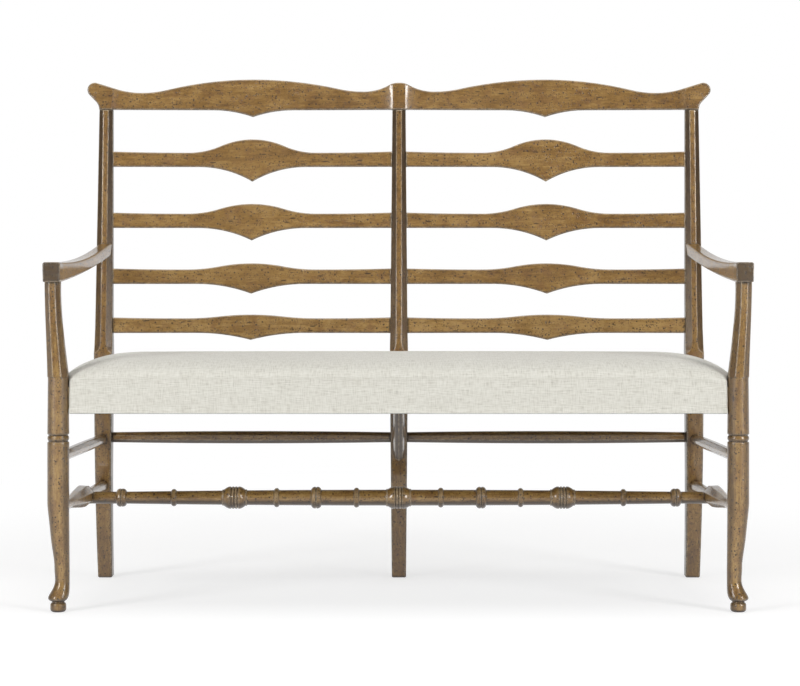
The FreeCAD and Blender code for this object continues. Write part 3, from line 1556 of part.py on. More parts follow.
def seat_form(name, inset, floor):
    half = size("seat_half_width")
    shoulder = size("side_shoulder_width")
    near_end = [half - shoulder * part for part in (0, 0.05, 0.2, 0.45, 0.75, 1.2)]
    places = near_end + [half * part for part in (0.7, 0.35)]
    stations = sorted([-place for place in places] + [0] + places)
    return loft(name, [seat_section(f"{name}_{number}", x, inset, floor)
                       for number, x in enumerate(stations)])


def post_notches(name, spare):
    """What the posts take out of the seat's corners and back."""
    tools = []
    for label, side in SIDES:
        tools.append(cylinder(f"{name}_front_{label}", f"dim.column_radius + {spare}",
                              "dim.seat_crown", f"{side} * dim.front_post_x",
                              "dim.front_post_y", "0"))
    for label, lean in REAR_POSTS:
        wide = f"(dim.seat_width_at_post + 2 * {spare})"
        x = f"{lean} * dim.rear_post_x - {wide} / 2"
        if lean:
            wide = f"({wide} + dim.rail_thickness)"
            x = x if lean > 0 else f"-dim.rear_post_x - {wide} + dim.seat_width_at_post / 2 + {spare}"
        tools.append(box(f"{name}_rear_{label}", wide, "dim.seat_depth_at_post + dim.rail_thickness",
                         "dim.post_top", x, f"{REAR_AXIS} - dim.seat_depth_at_post / 2 - {spare}",
                         "0"))
    return tools


def finish_upholstery():
    thick = size("cover_thickness")
    clear = size("soft_clearance")
    pad = seat_form("foam_form", thick + clear, thick + clear)
    spare = "dim.soft_clearance"
    rails = box("foam_rail_space", f"2 * ({SIDE_RAIL_X} + dim.rail_thickness / 2 + {spare})",
                f"{REAR_RAIL_Y} - {FRONT_RAIL_Y} + dim.rail_thickness + 2 * {spare}",
                f"{RAIL_TOP} + 2 * dim.web_thickness + 2 * {spare}",
                f"-({SIDE_RAIL_X} + dim.rail_thickness / 2 + {spare})",
                f"{FRONT_RAIL_Y} - {spare}", "0")
    node(cut("foam_pad", pad, [rails] + post_notches("foam_notch", spare)), "foam_pad")
    outer = seat_form("cover_form", 0, 0)
    inner = seat_form("cover_inside", thick, thick)
    under = "dim.cover_turn_under"
    opening = box("cover_opening", f"2 * (dim.seat_half_width - {under})",
                  f"{REAR_FACE} - {FRONT_FACE} - 2 * {under}", "dim.rail_bottom",
                  f"-(dim.seat_half_width - {under})", f"{FRONT_FACE} + {under}", "0")
    node(cut("seat_cover", outer, [inner, opening] + post_notches("cover_notch", spare)),
         "seat_cover")
    inset = "dim.dust_cover_inset"
    sheet_box = box("dust_cover_sheet", f"2 * (dim.seat_half_width - {inset})",
                    f"{REAR_FACE} - {FRONT_FACE} - 2 * {inset}", "dim.dust_cover_thickness",
                    f"-(dim.seat_half_width - {inset})", f"{FRONT_FACE} + {inset}",
                    f"dim.seat_bottom - dim.dust_cover_thickness - {spare}")
    hole = box("dust_cover_brace_slot", "2 * (dim.brace_half + dim.dust_cover_gap)",
               "4 * dim.brace_half", "dim.rail_bottom", "-dim.brace_half - dim.dust_cover_gap",
               f"{BRACE_HEAD.y} - 2 * dim.brace_half", "0")
    node(cut("dust_cover", sheet_box,
             [hole] + post_notches("dust_notch", "dim.dust_cover_gap")), "dust_cover")


for label, lean in REAR_POSTS:
    finish_rear_post(label, lean)
for label, side in SIDES:
    finish_front_post(label, side)
node(cut("crest_rail", crest_board, [crest_tenon(f"crest_mortise_{label}", lean, 1)
                                     for label, lean in REAR_POSTS]), "crest_rail")
for which in SLATS:
    for label, side in SIDES:
        finish_slat(which, label, side)
for label, side in SIDES:
    finish_arm(label, side)
    finish_side_stretcher("upper", upper_rods, label, side)
    finish_side_stretcher("lower", lower_rods, label, side)
    finish_rear_stretcher(label, side)
finish_medial()
finish_brace()
finish_rails()
finish_blocks()
finish_webbing()
finish_upholstery()

doc.recompute()

for item in doc.Objects:
    if "Invalid" in item.State or "Error" in item.State:
        raise RuntimeError(f"{item.Name} failed: {item.State}")
for label, item in NODES.items():
    if item.Shape.isNull() or not item.Shape.isValid():
        raise RuntimeError(f"{label} has no valid shape")

os.makedirs("parts", exist_ok=True)
for label, item in NODES.items():
    item.Shape.exportStep(f"parts/{label}.step")
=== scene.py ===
import math
import random

import bmesh
import bpy
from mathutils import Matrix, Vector


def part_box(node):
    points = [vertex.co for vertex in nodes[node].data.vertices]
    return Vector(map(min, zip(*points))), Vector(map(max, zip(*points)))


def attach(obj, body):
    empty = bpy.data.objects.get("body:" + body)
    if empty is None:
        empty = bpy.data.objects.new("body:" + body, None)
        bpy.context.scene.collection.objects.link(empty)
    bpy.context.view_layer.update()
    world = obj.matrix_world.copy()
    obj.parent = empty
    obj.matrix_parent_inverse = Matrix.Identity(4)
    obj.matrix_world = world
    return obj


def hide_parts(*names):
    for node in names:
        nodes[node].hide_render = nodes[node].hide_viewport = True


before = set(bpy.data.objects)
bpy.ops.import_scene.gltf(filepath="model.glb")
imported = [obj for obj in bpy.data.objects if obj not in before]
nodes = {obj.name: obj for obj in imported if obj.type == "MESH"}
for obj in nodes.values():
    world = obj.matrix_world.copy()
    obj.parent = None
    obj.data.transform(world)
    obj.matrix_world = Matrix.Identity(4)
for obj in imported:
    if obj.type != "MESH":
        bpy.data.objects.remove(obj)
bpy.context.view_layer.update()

# Lengths are in metres; a length in millimetres is multiplied by MM
MM = 0.001


# Sizes that the cushion takes from the frame

LOW, HIGH = 0, 1
X, Y, Z = 0, 1, 2


def measured(node, corner, axis):
    """One coordinate of a node's box, to a tenth of a millimetre."""
    return round(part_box(node)[corner][axis], 4)


SEAT_HALF = measured("seat_cover", HIGH, X)
SEAT_BOTTOM = measured("seat_cover", LOW, Z)
SEAT_CROWN = measured("seat_cover", HIGH, Z)
REAR_POST_HALF_WIDTH = measured("rear_post_centre", HIGH, X)
REAR_POST_X = round(measured("rear_post_right", HIGH, X) - REAR_POST_HALF_WIDTH, 4)

# Sizes that the part's source gives and no box shows
FRONT_POST = Vector((0.6565, -0.2761, 0))
FRONT_POST_RADIUS = 0.0211
SEAT_DEPTH = 0.460
REAR_POST_HALF_DEPTH = 0.020
SEAT_FRONT_REACH = 0.012
SEAT_REAR_REACH = 0.016

REAR_POST_Y = FRONT_POST.y + SEAT_DEPTH
REAR_POST_FRONT = REAR_POST_Y - REAR_POST_HALF_DEPTH
SEAT_FRONT = FRONT_POST.y - SEAT_FRONT_REACH
SEAT_REAR = REAR_POST_Y + SEAT_REAR_REACH


# Shader building

class Graph:
    """Writes the node tree of a material or world; most calls add one node and return its output."""

    def __init__(self, holder):
        holder.use_nodes = True
        self.holder = holder
        self.tree = holder.node_tree
        self.tree.nodes.clear()

    def fill(self, socket, value):
        """Link a socket to another node's output, or give it a constant."""
        if isinstance(value, bpy.types.NodeSocket):
            self.tree.links.new(value, socket)
        else:
            socket.default_value = value

    def node(self, kind, values=None, **settings):
        item = self.tree.nodes.new(kind)
        for key, value in settings.items():
            setattr(item, key, value)
        for key, value in (values or {}).items():
            self.fill(item.inputs[key], value)
        return item

    def math(self, operation, first, second=0.0, third=0.0):
        values = {0: first, 1: second, 2: third}
        return self.node("ShaderNodeMath", values, operation=operation).outputs[0]

    def product(self, first, *others):
        for other in others:
            first = self.math("MULTIPLY", first, other)
        return first

    def most(self, first, second):
        return self.math("MAXIMUM", first, second)

    def weigh(self, parts, start=0.0):
        """Sum of values, each times its share, on top of a start value."""
        total = start
        for value, share in parts:
            total = self.math("MULTIPLY_ADD", value, share, total)
        return total

    def dot(self, first, second):
        item = self.node("ShaderNodeVectorMath", {0: first, 1: second}, operation="DOT_PRODUCT")
        return item.outputs["Value"]

    def fit(self, value, low, high, out_low=0.0, out_high=1.0, smooth=False):
        """Carry a value from one range to another and stop it at both ends."""
        item = self.node("ShaderNodeMapRange", {
            "Value": value, "From Min": low, "From Max": high,
            "To Min": out_low, "To Max": out_high},
            interpolation_type="SMOOTHSTEP" if smooth else "LINEAR")
        return item.outputs["Result"]

    def ramp(self, value, stops):
        item = self.node("ShaderNodeValToRGB", {"Fac": value})
        band = item.color_ramp
        while len(band.elements) < len(stops):
            band.elements.new(0.5)
        for element, (position, colour) in zip(band.elements, stops):
            element.position = position
            element.color = (*colour, 1.0)
        return item.outputs["Color"]

    def lay(self, share, under, colour):
        """Lay a constant colour over the colour below it, by a share."""
        values = {0: share, 6: under, 7: (*colour, 1.0)}
        return self.node("ShaderNodeMix", values, data_type="RGBA").outputs[2]

    def blend(self, share, first, second):
        """Mix two shader nodes."""
        item = self.node("ShaderNodeMixShader", {0: share})
        self.tree.links.new(first.outputs[0], item.inputs[1])
        self.tree.links.new(second.outputs[0], item.inputs[2])
        return item

    def finish(self, shader, output="ShaderNodeOutputMaterial"):
        self.node(output, {"Surface": shader.outputs[0]})
        return self.holder


class Finish(Graph):
    """A piece's material, whose patterns lie in the object's own coordinates."""

    SHIFT_REACH = 20

    def __init__(self, name, seed=None):
        super().__init__(bpy.data.materials.new(name))
        self.here = self.node("ShaderNodeTexCoord").outputs["Object"]
        self.shift = (0, 0, 0)
        if seed is not None:
            rng = random.Random(seed)
            self.shift = tuple(rng.uniform(-self.SHIFT_REACH, self.SHIFT_REACH) for _ in range(3))

    def place(self, scale, shift=None, turn=(0, 0, 0)):
        values = {"Vector": self.here, "Scale": scale, "Location": shift or self.shift,
                  "Rotation": turn}
        return self.node("ShaderNodeMapping", values).outputs["Vector"]

    def noise(self, scale, detail=1.0, rough=0.5, distortion=0.0, **place):
        """Noise with one scale for each axis, in repeats to the metre."""
        values = {"Vector": self.place(scale, **place), "Scale": 1.0, "Detail": detail,
                  "Roughness": rough, "Distortion": distortion}
        return self.node("ShaderNodeTexNoise", values).outputs["Fac"]

    def spots(self, scale, channel, draw_low, sizes, edge, strength=1.0, **place):
        """Spots, one to a cell, each with a size drawn from a channel of its cell's colour."""
        cell = self.node("ShaderNodeTexVoronoi", {"Vector": self.place(scale, **place), "Scale": 1.0})
        draw = self.dot(cell.outputs["Color"], unit(channel))
        size = self.fit(draw, draw_low, 1.0, *sizes)
        inside = self.math("SUBTRACT", size, cell.outputs["Distance"])
        return self.fit(inside, *edge, 0.0, strength)

    def facing(self, normal, axis):
        """How squarely a normal lies along an axis, either way: 0 to 1."""
        return self.math("ABSOLUTE", self.dot(normal, unit(axis)))

    def bump(self, height, distance, strength, normal=None):
        values = {"Height": height, "Distance": distance, "Strength": strength}
        if normal is not None:
            values["Normal"] = normal
        return self.node("ShaderNodeBump", values).outputs["Normal"]

    def surface(self, **values):
        named = {key.replace("_", " "): value for key, value in values.items()}
        return self.finish(self.node("ShaderNodeBsdfPrincipled", named))


def unit(axis):
    """The unit vector along x, y or z."""
    return tuple(float(axis == letter) for letter in "xyz")


def along(axis, length, across):
    """Scales for a pattern that is drawn out along one axis."""
    return tuple(length if axis == letter else across for letter in "xyz")


# Stained and antiqued wood of the show frame

STAIN = (
    (0.22, (0.082, 0.038, 0.008)),
    (0.38, (0.188, 0.096, 0.021)),
    (0.52, (0.276, 0.153, 0.038)),
    (0.66, (0.392, 0.238, 0.074)),
)
STAIN_LEVEL = -0.36
RUDDY = (0.175, 0.080, 0.030)
PORE = (0.070, 0.035, 0.010)
MARK = (0.034, 0.015, 0.005)
# Colours below include painted light: shade on undersides, sideways faces and hollows, and highlights
# on upward and worn-through arrises; the dark arrises are partly stain and the worn-through ones partly
# wear.
DARK_EDGE_AND_SHADE = (0.024, 0.012, 0.005)
PAINTED_TOP_HIGHLIGHT = (0.50, 0.43, 0.32)
CHIP = (0.46, 0.30, 0.13)
END_GRAIN = (0.040, 0.026, 0.014)
PAINTED_SIDE_SHADE = (0.040, 0.023, 0.010)
RUBBED_AND_HIGHLIGHT = (0.56, 0.43, 0.27)
RECESS_SHADE = (0.030, 0.015, 0.006)

SOFTENED_ARRIS = 4 * MM
ARRIS_REACH = 6 * MM
RECESS_REACH = 9 * MM
LACQUER_INDEX = 1.5
LACQUER_ROUGHNESS = 0.08


def wood_marks(g, axis):
    """Fly specks, finer dust and short scratches along the grain."""
    specks = g.spots((140, 140, 140), "x", 0.0, (0.10, 0.30), (-0.02, 0.03))
    dust = g.spots((300, 300, 300), "y", 0.2, (0.06, 0.42), (-0.03, 0.05), 0.7)
    scratches = g.spots(along(axis, 34, 150), "z", 0.62, (0.0, 0.26), (-0.03, 0.04),
                        turn=(0.5, 0.4, 0.3))
    return g.most(g.most(specks, dust), scratches)


def edge_wear_shade_and_highlight(g, colour, soft, flat, axis):
    """Dark arrises and undersides, partly stain and partly painted shade; pale upward-facing arrises, a
    painted highlight; chips and darkened end grain. Also gives back the arris measure and the wear,
    from which the worn-through arrises are drawn.
    """
    solid = g.node("ShaderNodeAmbientOcclusion", {"Distance": ARRIS_REACH}, samples=8, inside=True)
    solid = solid.outputs["AO"]
    arris = g.fit(solid, 0.95, 0.64)
    wear = g.noise((95, 95, 95), 3.0, 0.65)
    up = g.dot(soft, unit("z"))
    # Dark arrises away from the top, partly stain; downward-facing surfaces darkened as painted shade.
    dark = g.most(g.product(arris, g.fit(up, 0.40, 0.05, 0.0, 0.9)),
                  g.fit(up, -0.10, -0.50, 0.0, 0.85))
    # Painted highlight: upward-facing arrises made pale.
    pale = g.product(arris, g.fit(up, 0.15, 0.55, 0.0, 0.6))
    chips = g.product(arris, g.fit(wear, 0.60, 0.68), 0.8)
    colour = g.lay(dark, colour, DARK_EDGE_AND_SHADE)
    colour = g.lay(pale, colour, PAINTED_TOP_HIGHLIGHT)
    colour = g.lay(chips, colour, CHIP)
    return g.lay(g.fit(g.facing(flat, axis), 0.70, 0.95, 0.0, 0.80), colour, END_GRAIN), solid, wear


def show_wood(name, axis, seed, tone, side_shade_share):
    """Antiqued walnut stain: streaked grain, specks and scratches, worn arrises partly with a painted
    highlight, and painted shade on undersides, sideways faces and hollows.
    """
    g = Finish(name, seed)
    broad = g.noise(along(axis, 4.5, 20), 2.0, 0.55, 0.4)
    streak = g.noise(along(axis, 9, 120), 3.0, 0.6, 0.6)
    fine = g.noise(along(axis, 30, 620), 2.0, 0.6)
    cloud = g.noise((28, 28, 28), 3.0, 0.6)
    mottle = g.noise(along(axis, 110, 240), 3.0, 0.7)
    ruddy = g.noise((48, 48, 48), 3.0, 0.65, turn=(0.4, 0.2, 0.7))
    pores = g.noise(along(axis, 55, 1500))
    marks = wood_marks(g, axis)

    figure = g.weigh(((broad, 0.30), (streak, 0.40), (fine, 0.28), (cloud, 0.36), (mottle, 0.40)),
                     STAIN_LEVEL + tone)
    colour = g.ramp(figure, STAIN)
    colour = g.lay(g.fit(ruddy, 0.50, 0.70, 0.0, 0.5), colour, RUDDY)
    colour = g.lay(g.fit(pores, 0.62, 0.72, 0.0, 0.45), colour, PORE)
    colour = g.lay(g.product(marks, 0.86), colour, MARK)

    soft = g.node("ShaderNodeBevel", {"Radius": SOFTENED_ARRIS}, samples=6).outputs["Normal"]
    flat = g.node("ShaderNodeNewGeometry").outputs["Normal"]
    colour, solid, wear = edge_wear_shade_and_highlight(g, colour, soft, flat, axis)
    # Painted shade: faces turned sideways, such as the chamfers, are darkened.
    side_shade = g.fit(g.facing(flat, "x"), 0.30, 0.62, 0.0, side_shade_share)
    colour = g.lay(side_shade, colour, PAINTED_SIDE_SHADE)
    # Pale worn-through arrises, partly wear and partly a painted highlight along the rounded arrises.
    bend = g.dot(soft, flat)
    rubbed_and_highlight = g.product(g.fit(bend, 0.995, 0.960), g.fit(bend, 0.80, 0.90),
                       g.fit(solid, 0.98, 0.90), g.fit(wear, 0.40, 0.56, 0.3, 0.85))
    colour = g.lay(rubbed_and_highlight, colour, RUBBED_AND_HIGHLIGHT)
    # Painted shade in the hollows, found by ambient occlusion.
    open_air = g.node("ShaderNodeAmbientOcclusion", {"Distance": RECESS_REACH}, samples=8)
    recess_shade = g.fit(open_air.outputs["AO"], 0.30, 0.85, 0.90, 0.0)
    colour = g.lay(recess_shade, colour, RECESS_SHADE)

    wave = g.noise(along(axis, 16, 60))
    height = g.weigh(((pores, -0.05), (fine, 0.10), (marks, -0.4), (wave, 0.9)))
    relief = g.bump(height, 0.5 * MM, 0.75, soft)
    return g.surface(
        Base_Color=colour, Roughness=g.fit(cloud, 0.3, 0.7, 0.30, 0.44), Normal=relief,
        IOR=LACQUER_INDEX, Coat_Weight=g.weigh(((g.most(side_shade, recess_shade), -0.8),), 1.0),
        Coat_Roughness=LACQUER_ROUGHNESS, Coat_IOR=LACQUER_INDEX, Coat_Normal=relief)


# Materials of the seat's inside and underside

PLANED = (0.56, 0.42, 0.25)


def bare_wood(name, axis, seed):
    """Planed hardwood of the hidden seat frame."""
    g = Finish(name, seed)
    figure = g.noise(along(axis, 6, 60), 3.0, 0.6, 0.8)
    fine = g.noise(along(axis, 30, 700), 2.0, 0.6)
    dark = tuple(value * 0.62 for value in PLANED)
    pale = tuple(value * 1.2 for value in PLANED)
    pattern = g.weigh(((figure, 0.65), (fine, 0.35)))
    colour = g.ramp(pattern, ((0.32, dark), (0.52, PLANED), (0.70, pale)))
    return g.surface(Base_Color=colour, Roughness=g.fit(fine, 0.3, 0.7, 0.55, 0.72),
                     Normal=g.bump(fine, 0.3 * MM, 0.5))


def cloth_threads(g, thread, length):
    """Two thread directions in the level plane, as one pattern."""
    first = g.noise((thread, length, length))
    second = g.noise((length, thread, length))
    return g.weigh(((first, 0.5), (second, 0.5)))


def jute():
    g = Finish("jute")
    weave = cloth_threads(g, 900, 60)
    colour = g.ramp(weave, (
        (0.36, (0.26, 0.17, 0.08)),
        (0.50, (0.50, 0.37, 0.20)),
        (0.64, (0.68, 0.54, 0.33))))
    return g.surface(Base_Color=colour, Roughness=0.95, Normal=g.bump(weave, 0.8 * MM, 0.8))


def dust_cloth():
    g = Finish("dust_cloth")
    weave = cloth_threads(g, 1100, 90)
    lint = g.noise((60, 60, 60), 3.0, 0.7)
    colour = g.ramp(g.weigh(((weave, 0.6), (lint, 0.4))), (
        (0.36, (0.012, 0.012, 0.013)),
        (0.50, (0.028, 0.028, 0.030)),
        (0.66, (0.075, 0.075, 0.078))))
    return g.surface(Base_Color=colour, Roughness=0.94, Normal=g.bump(weave, 0.5 * MM, 0.7),
                     Sheen_Weight=0.1)


def zinc():
    g = Finish("zinc")
    cloud = g.noise((300, 300, 300), 3.0, 0.6)
    colour = g.ramp(cloud, ((0.35, (0.42, 0.40, 0.36)), (0.65, (0.66, 0.64, 0.60))))
    return g.surface(Base_Color=colour, Metallic=1.0, Roughness=g.fit(cloud, 0.3, 0.7, 0.28, 0.45),
                     Normal=g.bump(cloud, 0.1 * MM, 0.4))


# Cover fabric

def linen():
    """Off-white slub linen: two thread directions and uneven yarn in both."""
    g = Finish("linen")
    normal = g.node("ShaderNodeNewGeometry").outputs["Normal"]
    weft = g.noise((55, 500, 500))
    warp_front = g.noise((540, 60, 60), shift=(4, 7, 1))
    warp_side = g.noise((60, 540, 60), shift=(9, 2, 5))
    side_share = g.fit(g.facing(normal, "x"), 0.60, 0.80)
    warp = g.weigh(((g.math("SUBTRACT", warp_side, warp_front), side_share),), warp_front)
    slub = g.fit(g.noise((34, 400, 400), shift=(3, 3, 8)), 0.60, 0.76, 0.45, 0.75)
    slub_warp = g.noise((210, 14, 14), 2.0, 0.6, shift=(1, 8, 2))
    haze = g.noise((7, 7, 7), 2.0, shift=(2, 6, 6))
    weave = g.weigh(((weft, 0.40), (warp, 0.38), (slub, 0.10), (slub_warp, 0.06)), 0.07)
    colour = g.ramp(g.weigh(((haze, 0.04),), weave), (
        (0.36, (0.465, 0.447, 0.392)),
        (0.47, (0.615, 0.597, 0.529)),
        (0.55, (0.680, 0.666, 0.598)),
        (0.68, (0.757, 0.743, 0.680))))
    return g.surface(Base_Color=colour, Roughness=0.92, Normal=g.bump(weave, 1.2 * MM, 0.4),
                     Sheen_Weight=0.22, Sheen_Roughness=0.5)


# Which material each carried node gets, by the start of its name

SHOW_WOOD = (
    # start of the name, grain axis, tone, share of painted shade on the sides
    ("front_post", "z", 0.0, 0.50),
    ("rear_post", "z", -0.06, 0.85),
    ("crest_rail", "x", -0.03, 0.0),
    ("slat_four", "x", 0.09, 0.0),
    ("slat", "x", 0.01, 0.0),
    ("arm", "y", 0.0, 0.0),
    ("side_stretcher", "y", 0.0, 0.0),
    ("rear_stretcher", "x", -0.03, 0.0),
    ("medial_stretcher", "x", 0.05, 0.0),
    ("centre_brace", "z", 0.0, 0.0),
)
BARE_WOOD = (
    ("seat_rail_side", "y"),
    ("seat_rail_centre", "y"),
    ("seat_rail", "x"),
    ("corner_block", "x"),
)
OTHERS = {"corner_block_screws": zinc, "seat_webbing": jute, "dust_cover": dust_cloth}
TONE_SEED = 5
TONE_SPREAD = 0.015


def first_row(table, label):
    """The rest of the first row whose name starts the label, or None."""
    return next((row[1:] for row in table if label.startswith(row[0])), None)


def dress_nodes():
    """Give each carried node its material; the two soft ones get none, as the cushion replaces them."""
    draw = random.Random(TONE_SEED)
    for seed, label in enumerate(sorted(nodes)):
        bare = first_row(BARE_WOOD, label)
        show = first_row(SHOW_WOOD, label)
        if label in OTHERS:
            material = OTHERS[label]()
        elif bare:
            material = bare_wood("bare_" + label, *bare, seed)
        elif show:
            axis, tone, side_shade_share = show
            tone += draw.uniform(-TONE_SPREAD, TONE_SPREAD)
            material = show_wood("wood_" + label, axis, seed, tone, side_shade_share)
        else:
            continue
        for slot in nodes[label].material_slots:
            slot.material = material


# Seat cushion

EDGE_DROP = 0.0015
SHOULDER_WIDTH = 0.130
SHOULDER_DROP = 0.026
FRONT_DROP = 0.010
REAR_DROP = 0.008
ROLL_WIDTH = 0.050
FACE_SHARE = 0.67

GRID_STEP = 0.0105
EDGE_PLACES_MM = (0, 0.7, 2.2, 4.6, 8, 12.5, 18, 25, 33)
FACE_LEVELS = 9

SWELL_ROOM = 0.0065
SWELL_ROOM_HEIGHT = 0.06
SWELL_CAP = 0.004
SWELL_FRAMES = 20
HELD_HEIGHT = 0.006

DRAW_IN = 0.003
DRAW_IN_HEIGHT = 0.07
FACE_DEPTH = 0.004

PUCKER_DEPTH = 0.0011
PUCKER_REACH = 0.14
PUCKER_WAVES = 11
PUCKER_TURN = 3
PUCKER_HEIGHT = 0.05
POST_CLEARANCE = 0.0004


def quarter_round(share):
    """Height of a quarter circle, from 0 at its outer end to 1 where it is level."""
    return math.sqrt(1 - (1 - min(1.0, share)) ** 2)


def crown(x):
    """Height of the seat along its middle line."""
    share = min(1.0, abs(x) / SEAT_HALF)
    top = SEAT_CROWN - EDGE_DROP * share ** 2
    into = (abs(x) - (SEAT_HALF - SHOULDER_WIDTH)) / SHOULDER_WIDTH
    if into > 0:
        top -= SHOULDER_DROP * (1 - math.sqrt(1 - min(1.0, into) ** 2))
    return top


def seat_height(x, y):
    """Top surface of the cushion over a place in plan."""
    top = crown(x)
    rim = SEAT_BOTTOM + (top - SEAT_BOTTOM) * FACE_SHARE
    half = (SEAT_REAR - SEAT_FRONT) / 2
    middle = (SEAT_REAR + SEAT_FRONT) / 2
    inward = half - abs(y - middle)
    drop = FRONT_DROP if y < middle else REAR_DROP
    slope = top - drop * (1 - inward / half) ** 2
    return slope - (top - drop - rim) * (1 - quarter_round(inward / ROLL_WIDTH))


def spaced(low, high):
    """Places from low to high, closer together near both ends."""
    *edge, last = [offset * MM for offset in EDGE_PLACES_MM]
    count = max(2, round((high - low - 2 * last) / GRID_STEP))
    run = (high - low - 2 * last) / count
    middle = [low + last + run * number for number in range(count + 1)]
    return [low + offset for offset in edge] + middle + [high - offset for offset in reversed(edge)]


def cushion_mesh():
    """A closed grid: crowned top, upright faces and flat underside."""
    xs = spaced(-SEAT_HALF, SEAT_HALF)
    ys = spaced(SEAT_FRONT, SEAT_REAR)
    form = bmesh.new()
    top = [[form.verts.new((x, y, seat_height(x, y))) for y in ys] for x in xs]
    base = [[form.verts.new((x, y, SEAT_BOTTOM)) for y in ys] for x in xs]
    for i in range(len(xs) - 1):
        for j in range(len(ys) - 1):
            form.faces.new((top[i][j], top[i + 1][j], top[i + 1][j + 1], top[i][j + 1]))
            form.faces.new((base[i][j], base[i][j + 1], base[i + 1][j + 1], base[i + 1][j]))
    last_i, last_j = len(xs) - 1, len(ys) - 1
    around = [(i, 0) for i in range(last_i)]
    around += [(last_i, j) for j in range(last_j)]
    around += [(i, last_j) for i in range(last_i, 0, -1)]
    around += [(0, j) for j in range(last_j, 0, -1)]
    columns = []
    for i, j in around:
        low, high = base[i][j], top[i][j]
        between = [form.verts.new(low.co.lerp(high.co, level / FACE_LEVELS))
                   for level in range(1, FACE_LEVELS)]
        columns.append([low, *between, high])
    for first, second in zip(columns, columns[1:] + columns[:1]):
        for level in range(FACE_LEVELS):
            form.faces.new((first[level], second[level], second[level + 1], first[level + 1]))
    bmesh.ops.recalc_face_normals(form, faces=form.faces)
    mesh = bpy.data.meshes.new("seat_cushion")
    form.to_mesh(mesh)
    form.free()
    return mesh


def share_of_height(co, height):
    """How far up the cushion a point lies: 0 at the bottom, 1 from a given height on."""
    return min(1.0, max(0.0, (co.z - SEAT_BOTTOM) / height))


def draw_in(co):
    """Pull the faces in towards their top and bottom, so that they swell at mid height."""
    rise = share_of_height(co, DRAW_IN_HEIGHT)
    pull = DRAW_IN * (1 - math.sin(math.pi * min(1.0, rise + 0.12) ** 0.8))
    x, y = co.x, co.y
    if abs(abs(x) - SEAT_HALF) < FACE_DEPTH:
        x -= math.copysign(max(0.0, pull), x)
    if y < SEAT_FRONT + FACE_DEPTH:
        y += max(0.0, pull)
    if y > SEAT_REAR - FACE_DEPTH:
        y -= max(0.0, pull)
    return Vector((x, y, co.z))


def pucker(co):
    """Small pull lines that fan out from the four corner posts, where the cover is cut round them."""
    lift = 0.0
    for side in (-1, 1):
        for post_x, post_y in ((FRONT_POST.x, FRONT_POST.y), (REAR_POST_X, REAR_POST_Y)):
            away = Vector((co.x, co.y)) - Vector((side * post_x, post_y))
            if away.length < PUCKER_REACH:
                angle = math.atan2(away.y, away.x)
                fade = max(0.0, 1 - away.length / PUCKER_REACH) ** 2
                wave = math.sin(PUCKER_WAVES * angle + PUCKER_TURN * side)
                lift += PUCKER_DEPTH * fade * wave
    return lift * share_of_height(co, PUCKER_HEIGHT)


def out_of_front_post(x, y):
    """Move a place on the right half out of the front post, inwards and back at 45 degrees."""
    radius = FRONT_POST_RADIUS + POST_CLEARANCE
    rx, ry = x - FRONT_POST.x, y - FRONT_POST.y
    if rx * rx + ry * ry < radius * radius:
        slant = math.sqrt(0.5)
        lean = -rx * slant + ry * slant
        run = -lean + math.sqrt(lean * lean - rx * rx - ry * ry + radius * radius)
        x -= run * slant
        y += run * slant
    return x, y


def notch(co):
    """Move a point out of the space that the posts take."""
    side = math.copysign(1, co.x)
    x, y = out_of_front_post(abs(co.x), co.y)
    wall = REAR_POST_X - REAR_POST_HALF_WIDTH - POST_CLEARANCE
    face = REAR_POST_FRONT - POST_CLEARANCE
    if x > wall and y > face:
        step = min(x - wall, y - face)
        x -= step
        y -= step
    if x < REAR_POST_HALF_WIDTH + POST_CLEARANCE and y > face:
        y = face
    return Vector((side * x, y, co.z))


def simulate(obj):
    """Let the cover swell a little under the foam's pressure, and cap how far it moves."""
    start = [vertex.co.copy() for vertex in obj.data.vertices]
    held = obj.vertex_groups.new(name="held")
    low = [vertex.index for vertex in obj.data.vertices if vertex.co.z < SEAT_BOTTOM + HELD_HEIGHT]
    held.add(low, 1.0, "REPLACE")
    cloth = obj.modifiers.new("swell", "CLOTH")
    cloth.settings.quality = 5
    cloth.settings.mass = 0.3
    cloth.settings.tension_stiffness = 18
    cloth.settings.compression_stiffness = 18
    cloth.settings.bending_stiffness = 0.8
    cloth.settings.vertex_group_mass = held.name
    cloth.settings.use_pressure = True
    cloth.settings.uniform_pressure_force = 4.0
    cloth.settings.effector_weights.gravity = 0.0
    scene = bpy.context.scene
    for number in range(1, SWELL_FRAMES + 1):
        scene.frame_set(number)
    swollen = obj.evaluated_get(bpy.context.evaluated_depsgraph_get()).data
    moves = [vertex.co - origin for vertex, origin in zip(swollen.vertices, start)]
    obj.modifiers.remove(cloth)
    scene.frame_set(1)
    for vertex, origin, move in zip(obj.data.vertices, start, moves):
        if move.length > SWELL_CAP:
            move *= SWELL_CAP / move.length
        vertex.co = origin + move


def build_cushion():
    """The foam pad and its cover as one padded piece."""
    cushion = bpy.data.objects.new("seat_cushion", cushion_mesh())
    bpy.context.collection.objects.link(cushion)
    for vertex in cushion.data.vertices:
        vertex.co.z -= SWELL_ROOM * share_of_height(vertex.co, SWELL_ROOM_HEIGHT)
    simulate(cushion)
    for vertex in cushion.data.vertices:
        place = draw_in(vertex.co)
        place.z += pucker(place)
        vertex.co = notch(place)
    cushion.data.materials.append(linen())
    for polygon in cushion.data.polygons:
        polygon.use_smooth = True
    fine = cushion.modifiers.new("fine", "SUBSURF")
    fine.levels = fine.render_levels = 1
    return cushion


# Floor, light and camera

WHITE = (1, 1, 1, 1)
FLOOR_REACH = 30.0
FLOOR_GREY = 0.93
SHADOW_REACH = 0.9
WHITE_REACH = 2.6
NEAR_GLOW = 1.31
NEAR_GLOW_SHARE = 0.50


